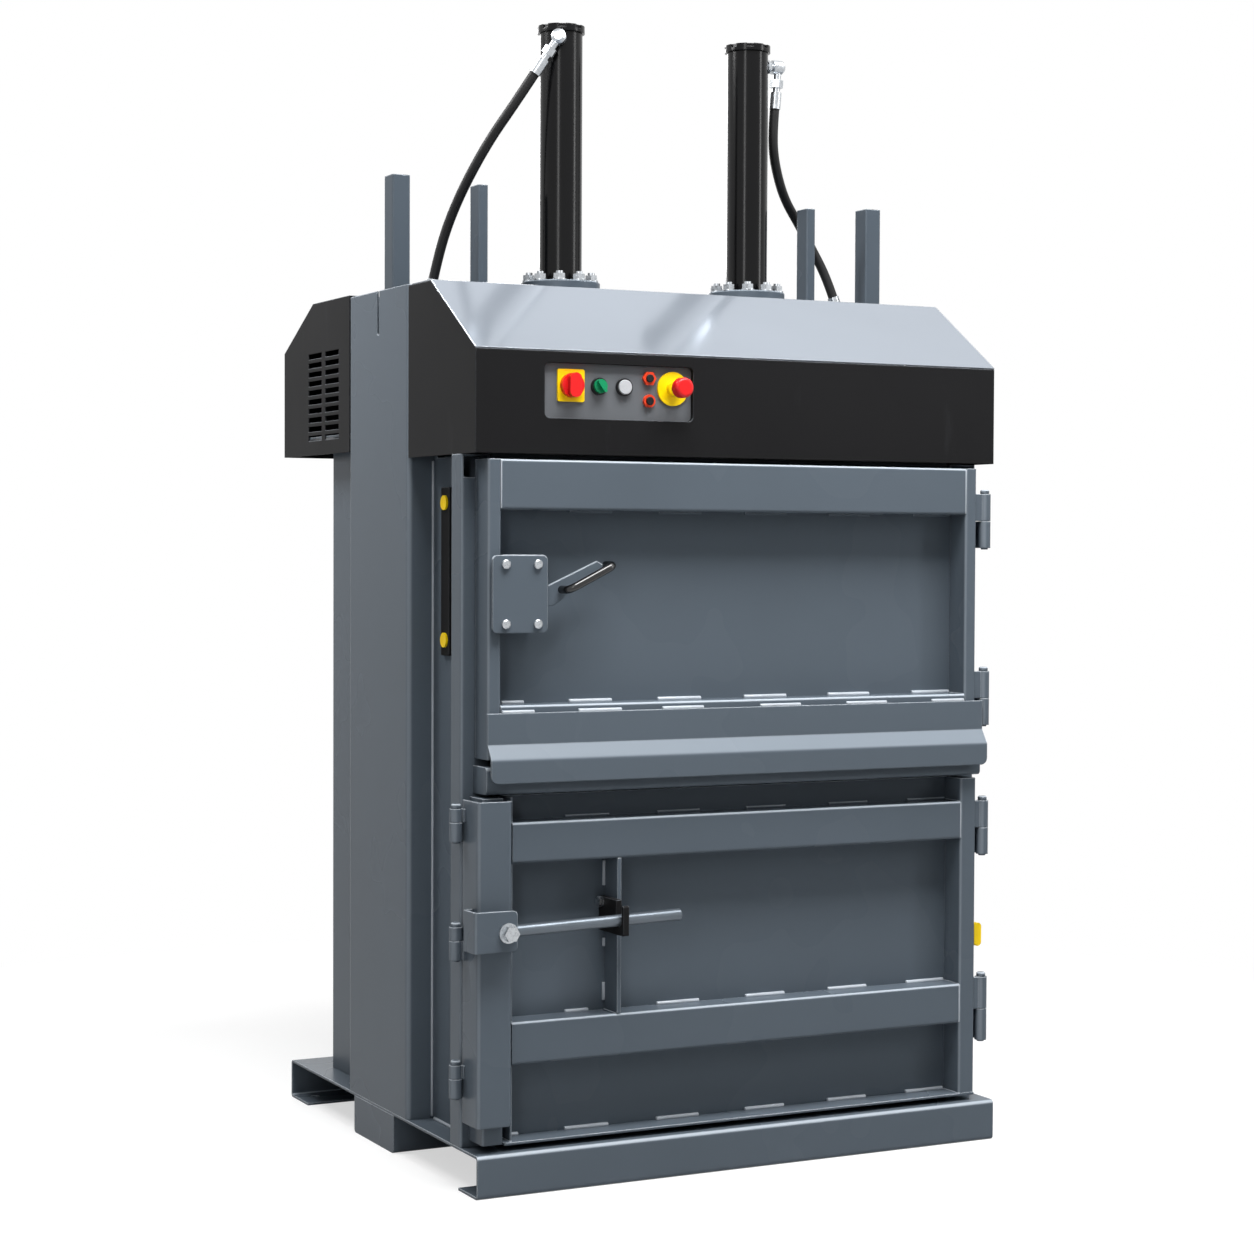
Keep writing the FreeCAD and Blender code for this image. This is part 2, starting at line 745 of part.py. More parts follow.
def make_latch():
    """Latch housing with its cover, and the hand lever that turns on a pin inside it."""
    x0 = left + latch_box_left
    x1 = x0 + latch_box_width
    y0 = front + latch_box_front
    z0 = upper_door_top - latch_box_drop
    z1 = z0 + latch_box_height
    w = latch_box_wall
    housing = box(x0, x1, y0, panel_front, z0, z1).cut(box(x0 + w, x1 + 1, y0 - 1, panel_front + 1, z0 + w, z1 - w))
    pivot = Vector(left + latch_pivot_left, y0, z0 + latch_pivot_rise)
    pin = rod(pivot, Y, latch_pin_radius, panel_front - y0)
    screws = []
    bosses = [pin]
    cover_x = left + latch_cover_left
    cover_z = z0 - latch_cover_overlap
    cover = box(cover_x, cover_x + latch_cover_width, y0 - latch_cover_sheet, y0,
                cover_z, cover_z + latch_cover_height)
    cover = rounded(cover, Y, latch_cover_corner)
    for x in (cover_x + latch_screw_left, cover_x + latch_cover_width - latch_screw_inset_x):
        for z in (cover_z + latch_screw_inset_z, cover_z + latch_cover_height - latch_screw_inset_z):
            foot = Vector(x, y0 - latch_cover_sheet, z)
            screw = rod(foot, -Y, latch_screw_radius, latch_screw_height)
            outer = [edge for edge in screw.Edges if len(edge.Vertexes) == 1 and edge.BoundBox.YMax < foot.y - 1]
            screws.append(screw.makeChamfer(2.0, outer))
            bosses.append(rod(foot + Y * latch_cover_sheet, Y, latch_boss_radius, panel_front - y0))
    save("latch_box", housing.fuse(bosses).removeSplitter())
    save("latch_cover", cover)
    save("latch_screws", Part.makeCompound(screws))

    lever_y0 = front + latch_lever_start
    turn = math.radians(latch_lever_angle)
    along = Vector(math.cos(turn), 0, math.sin(turn))
    across = Vector(-math.sin(turn), 0, math.cos(turn))
    at = Vector(pivot.x, lever_y0, pivot.z)
    elbow = at + X * latch_lever_straight
    half = latch_lever_half_width
    tip = elbow + along * latch_lever_arm
    outline = [at - Z * half, elbow - Z * half, tip - across * half * 0.2, tip + along * 8 + across * half * 0.1,
               tip + across * half * 0.7, elbow + across * half * 0.9, at + Z * half]
    arm = plate(outline, Y * latch_lever_sheet)
    hub = rod(at - Y * w, Y, latch_hub_radius, latch_lever_sheet + 2 * w)
    lever = arm.fuse([hub, rod(at, Y, half, latch_lever_sheet)])
    lever = lever.cut(rod(at - Y * 2 * w, Y, latch_pin_radius + running_clearance, latch_lever_sheet + 4 * w))
    save("latch_lever", lever.removeSplitter())

    grip_foot = at + X * grip_start + Z * grip_rise
    stand = Y * -grip_stand
    route = [grip_foot, grip_foot + stand, grip_foot + along * grip_length + stand, grip_foot + along * grip_length]
    save("latch_grip", tube_along(route, [grip_bend] * 2, grip_radius))


def make_lower_door():
    """Framed door over the bale chamber, with the stiffener and clip that hold the lock lever."""
    inner_right = lower_right - lower_stile_width
    frame = lower_door_bottom + door_sheet
    beams = []
    for rise, height in ((middle_beam_rise, middle_beam_height), (upper_beam_rise, upper_beam_height)):
        low = lower_door_bottom + rise
        beams.append((low, low + height))
    members = [open_section(lower_left, inner_right, door_front, panel_front, low, high, X) for low, high in beams]
    members.append(open_section(inner_right, lower_right, door_front, panel_front, frame, lower_door_top, Z))
    members.append(box(left + lower_flange_left, lower_right, door_front, door_back, lower_door_bottom, frame))
    levels = [frame, beams[0][0], beams[0][1], beams[1][0], beams[1][1], lower_door_top]
    for low, high in zip(levels[::2], levels[1::2]):
        members.append(box(lower_left, lower_left + end_plate_sheet, door_front + end_plate_setback, panel_front,
                           low, high))
    stiffener_x = left + stiffener_left
    stiffener_right = stiffener_x + stiffener_width
    stiffener = box(stiffener_x, stiffener_right, door_front, panel_front, beams[0][1], beams[1][0])
    bolt_at = Vector(stiffener_x - clip_sheet, panel_front - clip_bolt_setback,
                     bolt_z + (stiffener_left - bolt_from_left) * math.tan(math.radians(lever_slope))
                     + clip_rise - clip_bolt_inset)
    hole = rod(bolt_at - X, X, clip_bolt_radius + bolt_hole_clearance, clip_sheet + stiffener_width + 2)
    members.append(stiffener.cut(hole))
    save("lower_door_frame", Part.makeCompound(members))
    save("lower_door_panel", box(lower_left, lower_right, panel_front, door_back, frame, lower_door_top))

    seat_z = bolt_z + (stiffener_left - clip_sheet / 2 - bolt_from_left) * math.tan(math.radians(lever_slope))
    seat = lever_radius + clip_clearance
    lip_front = lever_y - seat - clip_lip
    corners = [(lip_front, -clip_drop), (panel_front, -clip_drop), (panel_front, clip_rise),
               (lever_y + seat, clip_rise), (lever_y + seat, clip_lip_rise), (lip_front, clip_lip_rise)]
    outline = [Vector(bolt_at.x, y, seat_z + rise) for y, rise in corners]
    clip = rounded(plate(outline, X * clip_sheet), X, 4.0, lambda middle: middle.y < lever_y)
    slot = box(bolt_at.x - 1, stiffener_x + 1, lever_y - seat, lever_y + seat, seat_z, seat_z + clip_rise + 1)
    round_foot = rod(Vector(bolt_at.x - 1, lever_y, seat_z), X, seat, clip_sheet + 2)
    save("lever_clip", clip.cut([slot, round_foot, hole]).removeSplitter())
    head = hex_bar(bolt_at, -X, clip_head_flats, clip_head_height)
    shank = rod(bolt_at, X, clip_bolt_radius, clip_sheet + stiffener_width + clip_head_height)
    nut = hex_bar(Vector(stiffener_right, bolt_at.y, bolt_at.z), X, clip_head_flats, clip_head_height)
    save("clip_bolt", head.fuse([shank, nut]).removeSplitter())


def make_swing_post():
    """Channel on three hinges that clasps the free edge, with the bracket and bolt of the lock lever."""
    profile = [Vector(left + channel_width, front + channel_lip, channel_bottom),
               Vector(left + channel_width, front, channel_bottom), Vector(left, front, channel_bottom),
               Vector(left, front + channel_depth, channel_bottom)]
    channel = folded(profile, channel_sheet, channel_bend, Z * (channel_top - channel_bottom))
    bolt_foot = Vector(bolt_x, bracket_front - 1, bolt_z)
    bolt_reach = bracket_stand + bracket_sheet + channel_sheet + 2
    bolt_hole = rod(bolt_foot, Y, bolt_radius + bolt_hole_clearance, bolt_reach)
    save("swing_channel", channel.cut(bolt_hole))

    core = open_section(core_x, core_x + core_width, door_front, door_back, core_bottom, lower_door_top, Z)
    ribs = []
    for z in (channel_bottom + 2 * channel_lip, bolt_z + bracket_height, channel_top - 2 * channel_lip):
        ribs.append(box(core_x + section_corner, core_x + core_width - section_corner, front + channel_sheet,
                        door_front, z, z + core_rib))
    save("swing_core", core.fuse(ribs).removeSplitter())

    x0 = left - bracket_left
    x1 = left + bracket_right
    low = base_height + bracket_rise
    side_end = front + bracket_return
    profile = [Vector(left, side_end, low), Vector(x0, side_end, low), Vector(x0, bracket_front, low),
               Vector(x1, bracket_front, low)]
    bracket = folded(profile, bracket_sheet, bracket_sheet + 1, Z * bracket_height)
    bracket = rounded(bracket, Y, bracket_corner, lambda middle: middle.x > x1 - 1)
    save("lock_bracket", bracket.cut(bolt_hole))

    at = Vector(bolt_x, bracket_front, bolt_z)
    shank_length = bracket_sheet + bracket_stand + channel_sheet + nut_height
    head = hex_bar(at - Y * washer_height, -Y, bolt_head_flats, bolt_head_height)
    shank = rod(at - Y * washer_height, Y, bolt_radius, shank_length + washer_height)
    washer = rod(at, -Y, washer_radius, washer_height)
    bush = rod(at + Y * bracket_sheet, Y, bush_radius, bracket_stand)
    nut = hex_bar(Vector(bolt_x, front + channel_sheet, bolt_z), Y, nut_flats, nut_height)
    bore = rod(at - Y * washer_height, Y, bolt_radius, shank_length + washer_height)
    screw = rod(Vector(left + set_screw_inset, front - bracket_stand, low + bracket_height - set_screw_inset),
                Y, set_screw_radius, bracket_stand)
    save("lock_bolt", Part.makeCompound([head.fuse(shank).removeSplitter(), washer.cut(bore), bush.cut(bore),
                                         nut.cut(bore), screw]))

    slope = math.radians(lever_slope)
    along = Vector(math.cos(slope), 0, math.sin(slope))
    pivot = Vector(bolt_x, lever_y, bolt_z)
    bar = rod(pivot, along, lever_radius, lever_end)
    tip = [edge for edge in bar.Edges if len(edge.Vertexes) == 1 and edge.BoundBox.XMin > pivot.x + lever_start]
    bar = bar.makeChamfer(lever_chamfer, tip)
    save("lock_lever", bar.cut(rod(pivot - Y * bracket_stand, Y, lever_start, 2 * bracket_stand)))


def make_covers():
    """Black front cover with the light slope panel, and the vented hood over the power pack."""
    s = cover_sheet
    y0 = front + cover_start
    slope_back = y0 + slope_depth
    rise = slope_rise / slope_depth
    under = slope_sheet * math.sqrt(1 + rise * rise)
    side = [Vector(left, y0, cover_bottom), Vector(left, column_front, cover_bottom),
            Vector(left, column_front, slope_top - slope_sheet), Vector(left, slope_back, slope_top - slope_sheet),
            Vector(left, y0, slope_foot - under)]
    cheek = plate(side, X * s)
    face = box(left, right, y0, y0 + s, cover_bottom, slope_foot - under)
    x0 = left + panel_left
    x1 = x0 + panel_width
    z0 = cover_bottom + panel_rise
    z1 = z0 + panel_height
    rim = rounded(box(x0 - rim_sheet, x1 + rim_sheet, y0, y0 + panel_recess, z0 - rim_sheet, z1 + rim_sheet),
                  Y, panel_corner + rim_sheet)
    window = rounded(box(x0, x1, y0 - 1, y0 + panel_recess + 1, z0, z1), Y, panel_corner)
    profile = [Vector(left, y0, slope_foot), Vector(left, slope_back, slope_top), Vector(left, head_front, slope_top)]
    slope = folded(profile, slope_sheet, base_bend, X * base_width)
    save("front_slope_panel", slope)
    save("front_cover", face.fuse([cheek, mirrored(cheek), rim]).cut([window, slope]).removeSplitter())

    crest = front + rear_cover_crest
    back = front + rear_cover_reach
    bottom = cover_bottom + rear_cover_drop
    top = head_top + rear_cover_above_head
    eave = top - rear_cover_eave
    outline = [(column_rear, bottom), (back, bottom), (back, eave), (crest, top), (column_rear, top)]
    hood = plate([Vector(left, y, z) for y, z in outline], X * base_width)
    inner = [(column_rear - 1, bottom - 1), (back - s, bottom - 1), (back - s, eave - s / 2),
             (crest - s / 4, top - s), (column_rear - 1, top - s)]
    hood = hood.cut(plate([Vector(left + s, y, z) for y, z in inner], X * (base_width - 2 * s)))
    slots = []
    for column in range(2):
        start = front + vent_first_start + column * vent_column_pitch
        for row in range(vent_rows):
            low = bottom + vent_rise + row * vent_pitch
            slots.append(box(left - 1, right + 1, start, start + vent_length, low, low + vent_height))
    save("rear_cover", hood.cut(slots))


def make_controls():
    """Recessed control plate with its isolator, selector, buttons and emergency stop."""
    y0 = front + cover_start + panel_recess
    x0 = left + panel_left
    z0 = cover_bottom + panel_rise
    row_z = z0 + control_rise
    m = panel_margin
    board = rounded(box(x0 - m, x0 + panel_width + m, y0, y0 + panel_sheet, z0 - m, z0 + panel_height + m), Y, 6.0)
    stop = Vector(x0 + estop_at, y0, row_z)
    stem_hole = estop_stem_radius + control_clearance
    board = board.cut(rod(stop - Y, Y, stem_hole, panel_sheet + 2))
    save("control_plate", board)

    iso_x = x0 + isolator_left
    iso_z = row_z - isolator_height / 2
    iso_front = y0 - isolator_sheet
    iso_plate = box(iso_x, iso_x + isolator_width, iso_front, y0, iso_z, iso_z + isolator_height)
    iso_plate = rounded(iso_plate, Y, 4.0)
    hub = Vector(iso_x + isolator_width / 2, iso_front - control_clearance, row_z)

    def knob(at, radius, disc, grip, grip_width, turn):
        body = rod(at, -Y, radius, disc)
        bar = box(at.x - grip_width / 2, at.x + grip_width / 2, at.y - disc - grip, at.y - disc,
                  at.z - radius, at.z + radius)
        bar = rounded(bar, Y, grip_width / 2 - 0.5)
        bar.rotate(at, Y, turn)
        return body.fuse(bar).removeSplitter()

    save("isolator_knob", knob(hub, isolator_knob_radius, isolator_knob_disc, isolator_grip, isolator_grip_width, 0))

    def ring(at, radius, bore):
        return rod(at, -Y, radius, bezel_height).cut(rod(at + Y, -Y, bore, bezel_height + 2))

    selector = Vector(x0 + selector_at, y0, row_z)
    white = Vector(x0 + white_button_at, y0, row_z)
    reds = [Vector(x0 + red_button_at, y0, row_z + side * red_button_spread / 2 - red_button_drop)
            for side in (1, -1)]
    white_bore = white_cap_radius + control_clearance
    red_bore = red_cap_radius + control_clearance
    hexagon = hex_bar(reds[0], -Y, 2 * red_bezel_radius, bezel_height)
    bezels = [rod(selector, -Y, selector_bezel_radius, bezel_height), ring(white, white_bezel_radius, white_bore)]
    save("control_bezels", Part.makeCompound(bezels))
    rings = [hexagon.cut(rod(reds[0] + Y, -Y, red_bore, bezel_height + 2)),
             ring(reds[1], red_bezel_radius, red_bore)]
    save("button_rings", Part.makeCompound(rings))
    save("selector_knob", knob(selector - Y * (bezel_height + control_clearance), selector_knob_radius,
                               selector_knob_disc, selector_grip, selector_grip_width, -35))

    def cap(at, radius):
        button = rod(at - Y * (bezel_height + cap_proud - cap_height), -Y, radius, cap_height)
        rim = [edge for edge in button.Edges if len(edge.Vertexes) == 1 and edge.BoundBox.YMax < at.y - bezel_height]
        return button.makeChamfer(1.0, rim)

    save("white_button", cap(white, white_cap_radius))
    save("upper_red_button", cap(reds[0], red_cap_radius))
    save("lower_red_button", cap(reds[1], red_cap_radius))

    disc = rod(stop, -Y, estop_disc_radius, estop_disc_height)
    collar = rod(stop, -Y, estop_collar_radius, estop_disc_height + estop_collar_height)
    disc = disc.fuse(collar).cut(rod(stop + Y, -Y, stem_hole, estop_disc_height + estop_collar_height + 2))
    save("yellow_plates", Part.makeCompound([iso_plate, disc]))
    head_back = stop - Y * (estop_head_start + estop_disc_height)
    save("estop_stem", rod(head_back + Y * control_clearance, Y, estop_stem_radius, estop_stem_length))
    mushroom = rod(head_back, -Y, estop_head_radius, estop_head_height)
    crown = [edge for edge in mushroom.Edges if len(edge.Vertexes) == 1 and edge.BoundBox.YMax < head_back.y - 1]
    mushroom = mushroom.makeFillet(estop_head_round, crown)
    save("estop_mushroom", mushroom)


def make_cylinders():
    """Flange-mounted cylinders with their caps, flanges and ring of bolts."""
    tubes = []
    caps = []
    flanges = []
    bolts = []
    for x in cylinder_xs:
        foot = Vector(x, cylinder_y, head_top)
        seat = Vector(x, cylinder_y, cylinder_bottom)
        crown = Vector(x, cylinder_y, cylinder_top)
        barrel = rod(seat, Z, cylinder_radius, cylinder_length)
        tubes.append(barrel.cut(rod(seat - Z, Z, cylinder_bore_radius, cylinder_length + 2)))

        cap = rod(crown, Z, cap_radius, cap_top)
        notch = box(cap_radius - cap_notch_depth, cap_radius + 1, -cap_notch_width / 2, cap_notch_width / 2,
                    0, cap_top / 2)
        for i in range(cap_notches):
            cutter = notch.copy()
            cutter.rotate(Vector(0, 0, 0), Z, 360 / cap_notches * (i + 0.5))
            cutter.translate(crown + Z * cap_top / 2)
            cap = cap.cut(cutter)
        caps.append(cap)

        flange = rod(foot, Z, flange_radius, flange_height)
        rim = [edge for edge in flange.Edges if len(edge.Vertexes) == 1 and edge.BoundBox.ZMin > head_top + 1]
        flange = flange.makeChamfer(2.0, rim)
        flange = flange.fuse(rod(foot - Z * flange_nose_length, Z, flange_nose_radius, flange_nose_length))
        rod_bore = rod(foot - Z * (flange_nose_length + 1), Z, rod_radius + running_clearance,
                       flange_nose_length + flange_height + 2)
        flanges.append(flange.cut(rod_bore).removeSplitter())
        for i in range(flange_bolts_each):
            turn = math.radians(flange_bolt_turn + 360 / flange_bolts_each * i)
            at = seat + Vector(math.cos(turn), math.sin(turn), 0) * flange_bolt_circle
            washer = rod(at, Z, flange_washer_radius, flange_washer_height)
            nut = hex_bar(at + Z * flange_washer_height, Z, flange_bolt_flats, flange_nut_height)
            tip = rod(at + Z * flange_washer_height, Z, flange_stud_radius, flange_nut_height + flange_stud_tip)
            bolts.append(washer.fuse([nut, tip]).removeSplitter())
    save("cylinder_tubes", Part.makeCompound(tubes))
    save("cylinder_caps", Part.makeCompound(caps))
    save("cylinder_flanges", Part.makeCompound(flanges))
    save("flange_bolts", Part.makeCompound(bolts))


def make_ram():
    """Press plate with its beam and ribs, the piston rods and the four guide bars."""
    x0 = chamber_left + ram_wall_gap
    y0 = door_back + ram_door_gap
    y1 = wall_rear - wall_sheet - ram_back_gap
    beam_y = front + ram_beam_start
    sheet = box(x0, -x0, y0, y1, ram_bottom, ram_beam_bottom)
    beam = box(x0, -x0, beam_y, beam_y + ram_beam_depth, ram_beam_bottom, ram_beam_top)
    w = ram_beam_wall
    hollow = box(x0 - 1, 1 - x0, beam_y + w, beam_y + ram_beam_depth - w, ram_beam_bottom, ram_beam_top - w)
    pieces = [beam.cut(hollow)]
    for x in (left + inner_bar_left, 0, -left - inner_bar_left):
        for start, end in ((y0 + ram_rib_end, beam_y), (beam_y + ram_beam_depth, y1 - ram_rib_end)):
            pieces.append(box(x - ram_rib_sheet / 2, x + ram_rib_sheet / 2, start, end, ram_beam_bottom,
                              ram_beam_bottom + ram_rib_height))
    bar_x = left + column_sheet + outer_bar_gap
    bar_y = front + outer_bar_start
    arm = box(bar_x + outer_bar_width, x0 + w, bar_y + arm_inset, bar_y + outer_bar_depth - arm_inset,
              ram_beam_bottom, ram_beam_top)
    save("press_plate", sheet.fuse(pieces + [arm, mirrored(arm)]).removeSplitter())

    def bar(x, y, width, depth, low, bar_top):
        outer = rounded(box(x, x + width, y, y + depth, low, bar_top), Z, bar_corner)
        return outer.cut(box(x + bar_wall, x + width - bar_wall, y + bar_wall, y + depth - bar_wall,
                             low - 1, bar_top - bar_wall))

    outer = bar(bar_x, bar_y, outer_bar_width, outer_bar_depth, ram_bottom, head_top + outer_bar_above_head)
    inner = bar(left + inner_bar_left, front + inner_bar_start, inner_bar_width, inner_bar_depth, ram_beam_top,
                head_top + inner_bar_above_head)
    save("guide_bars", Part.makeCompound([outer, mirrored(outer), inner, mirrored(inner)]))

    rods = []
    for x in cylinder_xs:
        foot = Vector(x, cylinder_y, ram_beam_top)
        piston_top = cylinder_top - piston_gap
        shaft = rod(foot, Z, rod_radius, piston_top - ram_beam_top)
        piston = rod(Vector(x, cylinder_y, piston_top - piston_height), Z,
                     cylinder_bore_radius - running_clearance, piston_height)
        rods.append(shaft.fuse(piston).removeSplitter())
    save("piston_rods", Part.makeCompound(rods))


# Hose routes by eye, from the ferrule at the cylinder down to the union on the cross-head
left_route = [Vector(left + x, front + y, head_top + z) for x, y, z in (
    (281, 375, 430), (248, 395, 372), (213, 439, 304), (182, 487, 222), (163, 525, 151), (150, 546, 87),
    (142, 556, 36))]
right_route = [Vector(left + x, front + y, head_top + z) for x, y, z in (
    (843, 403, 409), (840, 404, 366), (846, 412, 318), (871, 435, 272), (908, 468, 232), (949, 487, 192),
    (986, 487, 136), (1016, 478, 78), (1030, 472, 34))]


def union_foot(route):
    """Place on the cross-head of the union that takes the end of a hose."""
    last_run = route[-1] - route[-2]
    drop = (head_top + union_nut_height - route[-1].z) / last_run.z
    ball = route[-1] + last_run * drop
    return Vector(ball.x, ball.y, head_top)


def make_hydraulics():
    """Hoses with their fittings, the pipes under the cross-head and the power pack behind."""

    def fitting(cylinder_x, route):
        down = (route[1] - route[0]).normalize()
        head = route[0] - down * fitting_length
        axis = Vector(cylinder_x, cylinder_y, head.z)
        reach = (head - axis).Length
        port = (head - axis).normalize()
        boss = rod(axis, port, neck_radius, reach).cut(rod(axis - Z * cap_radius, Z, cylinder_radius, 2 * cap_radius))
        nut = hex_bar(axis + port * (cylinder_radius + 2), port, hex_flats, port_nut_length)
        body = rod(head - port * fitting_head_length / 2, port, fitting_head_radius, fitting_head_length)
        crown = [edge for edge in body.Edges if len(edge.Vertexes) == 1
                 and (edge.CenterOfMass - head).dot(port) > 1]
        body = body.makeChamfer(fitting_head_round, crown)
        neck = rod(head, down, neck_radius, fitting_length)
        collar = hex_bar(route[0] - down * (ferrule_length + swivel_gap + hex_length), down, hex_flats, hex_length)
        sleeve = rod(route[0] - down * ferrule_length, down, ferrule_radius, ferrule_length)
        return boss.fuse([nut, body, neck, collar, sleeve]).removeSplitter()

    fittings = [fitting(cylinder_xs[0], left_route), fitting(cylinder_xs[1], right_route)]
    for name, route in (("left_hose", left_route), ("right_hose", right_route)):
        radii = []
        for before, corner, after in zip(route, route[1:], route[2:]):
            towards = before - corner
            away = after - corner
            half_turn = (math.pi - towards.getAngle(away)) / 2
            radii.append(0.45 * min(towards.Length, away.Length) / math.tan(half_turn))
        hose = tube_along(route, radii, hose_radius)
        length = bent_path(route, radii).Length
        section = math.pi * hose_radius ** 2
        print(name, "radii", [round(radius) for radius in radii], "length", round(length, 1),
              "volume ratio", round(hose.Volume / (section * length), 5))
        save(name, hose)

    valve_x = left + valve_left
    valve_y = pack_middle - tank_depth / 2 + valve_setback
    valve_z = shelf_top + tank_height
    pipe_z = head_top - head_sheet - pipe_drop
    targets = [Vector(valve_x, valve_y + valve_depth * 0.35, pipe_z),
               Vector(valve_x + valve_width, valve_y + valve_depth * 0.65, pipe_z)]
    for route, target in zip((left_route, right_route), targets):
        union = union_foot(route)
        top = union + Z * union_nut_height
        nut = hex_bar(union, Z, union_nut_flats, union_nut_height)
        sleeve = rod(top, route[-1] - top, ferrule_radius, (route[-1] - top).Length)
        ball = Part.makeSphere(ferrule_radius, top)
        corner = Vector(union.x, union.y, pipe_z)
        pipe = [union, corner, Vector(union.x, target.y, pipe_z), target]
        line = tube_along(pipe, [pipe_bend] * 2, pipe_radius)
        shank = rod(union - Z * head_sheet, Z, union_hole_radius - control_clearance, head_sheet)
        ball = ball.cut(rod(union - Z * union_nut_flats, Z, union_nut_flats, union_nut_flats))
        fittings.append(nut.fuse([sleeve, ball, line, shank]).removeSplitter())
    save("hose_fittings", Part.makeCompound(fittings))

    shelf = box(left + cover_sheet + shelf_side_gap, right - cover_sheet - shelf_side_gap, column_rear,
                front + rear_cover_reach - cover_sheet - shelf_side_gap, shelf_bottom, shelf_top)
    save("pack_shelf", shelf)

    tank_x = left + tank_left
    tank_y = pack_middle - tank_depth / 2
    tank = box(tank_x, tank_x + tank_width, tank_y, tank_y + tank_depth, shelf_top, valve_z)
    save("oil_tank", rounded(tank, Z, tank_corner))

    motor_z = shelf_top + motor_foot + motor_radius
    start = Vector(left + motor_left, pack_middle, motor_z)
    end = start.x + motor_length
    motor = rod(start, X, motor_radius - motor_fin_height, motor_length)
    fins = []
    for i in range(motor_fin_count):
        fin = box(start.x + motor_bell, end - motor_bell, start.y - motor_fin_width / 2,
                  start.y + motor_fin_width / 2, motor_z + motor_radius / 2, motor_z + motor_radius)
        fin.rotate(start, X, 360 / motor_fin_count * (i + 0.5))
        fins.append(fin)
    bell = rod(start, X, motor_radius, motor_bell)
    foot = box(start.x + 2 * motor_bell, end - 2 * motor_bell, start.y - motor_radius * 0.8,
               start.y + motor_radius * 0.8, shelf_top, shelf_top + motor_foot)
    web = box(start.x + 3 * motor_bell, end - 3 * motor_bell, start.y - motor_radius * 0.5,
              start.y + motor_radius * 0.5, shelf_top, motor_z)
    save("electric_motor", motor.fuse(fins + [bell, foot, web]).removeSplitter())

    pump = rod(start + X * motor_length, X, pump_radius, pump_length)
    valve_body = box(valve_x, valve_x + valve_width, valve_y, valve_y + valve_depth, valve_z, valve_z + valve_height)
    solenoid = rod(Vector(valve_x + valve_width / 2, valve_y - solenoid_length, valve_z + valve_height / 2), Y,
                   solenoid_radius, solenoid_length)
    save("pump_and_valve", Part.makeCompound([pump, valve_body.fuse(solenoid)]))


make_base()
make_frame()
make_cross_head()
make_hinges()
make_upper_door()
make_latch()
make_lower_door()
make_swing_post()
make_covers()
make_controls()
make_cylinders()
make_ram()
make_hydraulics()
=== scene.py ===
"""Looks for the vertical recycling baler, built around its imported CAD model.

Lengths are in metres, in the CAD model's frame: X to the right, Y to the back, Z up.
"""

import json
import math

import bpy
from mathutils import Matrix, Vector


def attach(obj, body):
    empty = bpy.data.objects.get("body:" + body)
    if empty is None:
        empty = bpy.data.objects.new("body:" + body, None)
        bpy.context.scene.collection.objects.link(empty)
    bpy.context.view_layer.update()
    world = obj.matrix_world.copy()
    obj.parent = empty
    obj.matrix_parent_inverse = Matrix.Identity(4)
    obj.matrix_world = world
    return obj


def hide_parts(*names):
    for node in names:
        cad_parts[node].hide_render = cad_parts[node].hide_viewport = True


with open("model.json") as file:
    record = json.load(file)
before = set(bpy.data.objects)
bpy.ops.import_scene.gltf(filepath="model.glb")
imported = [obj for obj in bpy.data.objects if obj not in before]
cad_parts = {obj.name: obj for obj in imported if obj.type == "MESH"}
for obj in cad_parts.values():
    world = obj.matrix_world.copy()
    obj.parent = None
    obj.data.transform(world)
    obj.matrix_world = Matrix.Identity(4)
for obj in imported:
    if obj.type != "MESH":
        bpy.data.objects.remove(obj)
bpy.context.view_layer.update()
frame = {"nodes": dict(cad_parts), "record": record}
NODES = frame["nodes"]

MM = 0.001
LEFT, FRONT = -0.565, -0.500
PHOTO_PIXELS = 1254.0
FOCAL_PIXELS = 2584.6
SENSOR_WIDTH = 36.0
CAMERA_PLACE = (-2.4364, -4.7721, 1.1833)
CAMERA_YAW, CAMERA_PITCH, CAMERA_ROLL = 0.470164, 0.030015, 0.004144

# ------------------------------------------------------------------ camera


def build_camera():
    """Camera at the photograph's place: a long lens, slightly above the middle of the machine."""
    yaw, pitch, roll = CAMERA_YAW, CAMERA_PITCH, CAMERA_ROLL
    forward = Vector((math.sin(yaw) * math.cos(pitch), math.cos(yaw) * math.cos(pitch), -math.sin(pitch)))
    right = Vector((math.cos(yaw), -math.sin(yaw), 0.0))
    up = right.cross(forward)
    turned_right = right * math.cos(roll) + up * math.sin(roll)
    turned_up = up * math.cos(roll) - right * math.sin(roll)
    data = bpy.data.cameras.new("photo_camera")
    data.sensor_fit = "HORIZONTAL"
    data.sensor_width = SENSOR_WIDTH
    data.lens = FOCAL_PIXELS * SENSOR_WIDTH / PHOTO_PIXELS
    data.clip_start = 0.05
    data.clip_end = 60.0
    camera = bpy.data.objects.new("photo_camera", data)
    bpy.context.scene.collection.objects.link(camera)
    turn = Matrix((turned_right, turned_up, -forward)).transposed().to_4x4()
    camera.matrix_world = Matrix.Translation(Vector(CAMERA_PLACE)) @ turn
    bpy.context.scene.camera = camera


def mm(x, y, z):
    """Point given from the base's front left corner, in millimetres, as a place in the frame."""
    return Vector((LEFT + x * MM, FRONT + y * MM, z * MM))


build_camera()

# ------------------------------------------------------------------ node building


def node(tree, kind, **values):
    """New shader node with its settings and plain input values."""
    made = tree.nodes.new(kind)
    for key, value in values.items():
        if hasattr(made, key) and key not in made.inputs:
            setattr(made, key, value)
        else:
            made.inputs[key.replace("_", " ")].default_value = value
    return made


def link(tree, source, target):
    """Link between two sockets."""
    tree.links.new(source, target)


